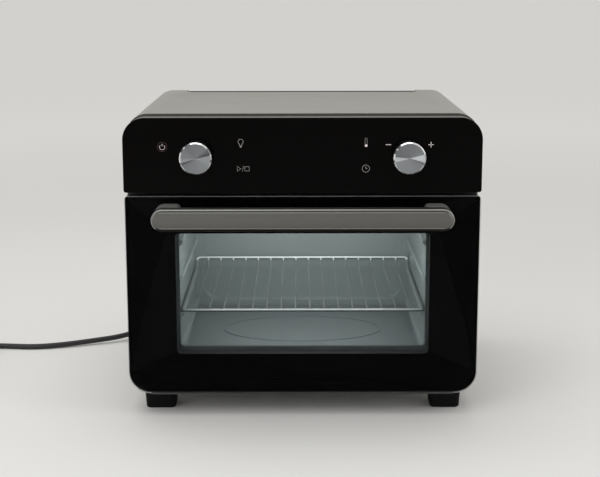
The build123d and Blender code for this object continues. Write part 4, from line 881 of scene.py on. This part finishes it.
# Each path is in x and z. An arc is x, z and radius, then its first and last degree and its steps
signs = {
    "powerArc": (-0.1538, 0.3080, 0.0029, 132, 408),
    "powerBar": [(-0.1538, 0.3090), (-0.1538, 0.3119)],
    "powerRing": (-0.1538, 0.3083, 0.0052),
    "minus": [(0.0911, 0.3103), (0.0969, 0.3103)],
    "plusLevel": [(0.1376, 0.3102), (0.1438, 0.3102)],
    "plusUpright": [(0.1407, 0.3071), (0.1407, 0.3133)],
    "bulbArc": (-0.0677, 0.3138, 0.0028, -62, 242, 30),
    "bulbNeck": [(-0.0690, 0.3094), (-0.0664, 0.3094)],
    "bulbSocket": [(-0.0687, 0.3090), (-0.0667, 0.3090), (-0.0669, 0.3074), (-0.0685, 0.3074)],
    "play": [(-0.0716, 0.2812), (-0.0716, 0.2867), (-0.0678, 0.2840)],
    "slash": [(-0.0664, 0.2808), (-0.0647, 0.2870)],
    "stop": [(-0.0634, 0.2863), (-0.0586, 0.2863), (-0.0586, 0.2816), (-0.0634, 0.2816)],
    "stemArc": (0.0696, 0.3164, 0.0011, 0, 180, 12),
    "stemFoot": [(0.0685, 0.3108), (0.0707, 0.3108)],
    "mercury": (0.0696, 0.3094, 0.0015, 0, 360, 20),
    "clockRim": (0.0696, 0.2840, 0.0040),
    "clockHands": [(0.0694, 0.2864), (0.0694, 0.2838), (0.0714, 0.2844)],
}


def circlePath(x, z, radius, start=0.0, end=360.0, steps=36):
    # degrees from the right, and the last point only where the circle is open
    span = end - start
    turns = [radians(start + span * i / steps) for i in range(steps if span >= 360 else steps + 1)]
    return [(x + radius * cos(turn), z + radius * sin(turn)) for turn in turns]


def addStroke(mesh, path, width, closed=False):
    # ribbon along a path, mitred at its corners
    count = len(path)
    pairs = []
    for index, (x, z) in enumerate(path):
        before = path[(index - 1) % count] if closed or index else None
        after = path[(index + 1) % count] if closed or index < count - 1 else None
        into = Vector((x - before[0], z - before[1])).normalized() if before else None
        out = Vector((after[0] - x, after[1] - z)).normalized() if after else None
        along = (into + out).normalized() if into and out else (into or out)
        side = Vector((-along.y, along.x))
        straight = out or into
        bend = max(icons["mitreLimit"], side.dot(Vector((-straight.y, straight.x))))
        reach = width / 2 / bend
        shifts = (-side * reach, side * reach)
        pairs.append([mesh.verts.new((x + shift.x, icons["glassY"], z + shift.y)) for shift in shifts])
    for index in range(count if closed else count - 1):
        a, b = pairs[index], pairs[(index + 1) % count]
        mesh.faces.new((a[0], b[0], b[1], a[1]))


def addFill(mesh, outline):
    mesh.faces.new([mesh.verts.new((x, icons["glassY"], z)) for x, z in outline])


def finishPrint(name, mesh, material):
    made = bmesh.ops.extrude_face_region(mesh, geom=mesh.faces[:])
    lifted = [item for item in made["geom"] if isinstance(item, bmesh.types.BMVert)]
    bmesh.ops.translate(mesh, verts=lifted, vec=(0, -icons["thickness"], 0))
    bmesh.ops.recalc_face_normals(mesh, faces=mesh.faces[:])
    data = bpy.data.meshes.new(name)
    mesh.to_mesh(data)
    mesh.free()
    data.materials.append(material)
    piece = bpy.data.objects.new(name, data)
    bpy.context.scene.collection.objects.link(piece)
    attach(piece, "oven")


def makeIcons():
    line, bold, thin = icons["line"], icons["bold"], icons["thin"]
    inkFinish = {"rough": 0.6, "bump": 0.1}
    # power, minus, plus and the thermometer's filled bulb are the brightest
    bright = bmesh.new()
    addStroke(bright, circlePath(*signs["powerArc"]), thin)
    addStroke(bright, signs["powerBar"], thin)
    for name in ("minus", "plusLevel", "plusUpright"):
        addStroke(bright, signs[name], bold)
    addFill(bright, circlePath(*signs["mercury"]))
    brightInk = makeFinish("powerInk", {**inkFinish, "colour": icons["brightColour"]})
    finishPrint("brightSigns", bright, brightInk)
    # light bulb over its socket, play or stop, thermometer and clock
    plain = bmesh.new()
    addStroke(plain, circlePath(*signs["bulbArc"]) + signs["bulbNeck"], line, True)
    addFill(plain, signs["bulbSocket"])
    addStroke(plain, signs["play"], thin, True)
    addStroke(plain, signs["slash"], thin)
    addStroke(plain, signs["stop"], thin, True)
    addStroke(plain, circlePath(*signs["stemArc"]) + signs["stemFoot"], thin, True)
    addStroke(plain, circlePath(*signs["clockRim"]), line, True)
    addStroke(plain, signs["clockHands"], line)
    ink = makeFinish("iconInk", {**inkFinish, "colour": icons["colour"]})
    finishPrint("panelIcons", plain, ink)
    # the dim red ring round the power sign
    ring = bmesh.new()
    addStroke(ring, circlePath(*signs["powerRing"]), icons["ringLine"], True)
    ringInk = makeFinish("powerRingInk", {**inkFinish, "colour": icons["ringColour"]})
    finishPrint("powerRing", ring, ringInk)


makeIcons()
print("symbols printed")

# Floor, light and world
stage = {
    "floorSize": 80.0,
    "floorColour": (0.90, 0.89, 0.87),
    "floorFinish": {"rough": 0.7, "toneSpread": 0.01, "bump": 0.02, "specular": 0.2},
    # the glow of the far floor, and where it starts and is full
    "farGlow": 0.19,
    "glowStart": 0.7,
    "glowEnd": 3.0,
    # what lights the oven, and what is seen behind it and in it
    "worldColour": (0.815, 0.81, 0.795),
    "worldStrength": 0.62,
    "shownStrength": 0.79,
    # name, place, aim, width, height and power
    "lamps": [
        ("topSoftbox", (-0.25, 0.05, 1.7), (0.0, 0.05, 0.2), 1.5, 1.5, 9.0),
        ("frontSoftbox", (-1.1, -1.6, 1.1), (0.0, 0.0, 0.15), 1.1, 1.1, 9.0),
        ("sideSoftbox", (1.5, -0.5, 0.9), (0.0, 0.0, 0.2), 1.0, 1.0, 4.0),
        ("cavityLight", (0.0, 0.070, 0.244), (0.0, 0.0701, 0.1), 0.20, 0.12, 0.10),
        ("cavityFill", (0.0, -0.103, 0.184), (0.0, 0.15, 0.115), 0.235, 0.08, 0.31),
    ],
}


def seenRays(tree):
    # rays that show the backdrop: straight to the camera, in gloss and through glass
    ray = tree.nodes.new("ShaderNodeLightPath")
    seen = mathNode(tree, "MAXIMUM", ray.outputs["Is Camera Ray"], ray.outputs["Is Glossy Ray"])
    return mathNode(tree, "MAXIMUM", seen, ray.outputs["Is Transmission Ray"])


def makeFloor(spec):
    half = spec["floorSize"] / 2
    data = bpy.data.meshes.new("floor")
    corners = [(-half, -half, 0), (half, -half, 0), (half, half, 0), (-half, half, 0)]
    data.from_pydata(corners, [], [(0, 1, 2, 3)])
    floor = bpy.data.objects.new("floor", data)
    bpy.context.scene.collection.objects.link(floor)
    material = makeFinish("floorPale", {**spec["floorFinish"], "colour": spec["floorColour"]})
    data.materials.append(material)
    # the far floor, which is the backdrop, shows paler
    tree = material.node_tree
    place = tree.nodes.new("ShaderNodeTexCoord")
    distance = tree.nodes.new("ShaderNodeVectorMath")
    distance.operation = "LENGTH"
    tree.links.new(place.outputs["Object"], distance.inputs[0])
    far = ramp(tree, distance.outputs["Value"], spec["glowStart"], spec["glowEnd"])
    shader = tree.nodes["Principled BSDF"]
    shader.inputs["Emission Strength"].default_value = 1.0
    black = (0.0, 0.0, 0.0)
    glowColour = tuple(channel * spec["farGlow"] for channel in spec["floorColour"])
    glow = mixColour(tree, mathNode(tree, "MULTIPLY", far, seenRays(tree)), black, glowColour)
    tree.links.new(glow, shader.inputs["Emission Color"])


def makeLamps(spec):
    for name, place, aim, width, height, power in spec["lamps"]:
        data = bpy.data.lights.new(name, "AREA")
        data.shape = "RECTANGLE"
        data.size = width
        data.size_y = height
        data.energy = power
        item = bpy.data.objects.new(name, data)
        bpy.context.scene.collection.objects.link(item)
        item.location = place
        item.rotation_euler = (Vector(aim) - Vector(place)).to_track_quat("-Z", "Y").to_euler()


def makeWorld(spec):
    world = bpy.data.worlds.new("studio")
    bpy.context.scene.world = world
    world.use_nodes = True
    tree = world.node_tree
    background = tree.nodes["Background"]
    background.inputs["Color"].default_value = (*spec["worldColour"], 1.0)
    gain = spec["shownStrength"] - spec["worldStrength"]
    shown = mathNode(tree, "MULTIPLY", seenRays(tree), gain)
    strength = mathNode(tree, "ADD", shown, spec["worldStrength"])
    tree.links.new(strength, background.inputs["Strength"])


makeFloor(stage)
makeLamps(stage)
makeWorld(stage)
print("stage lit")
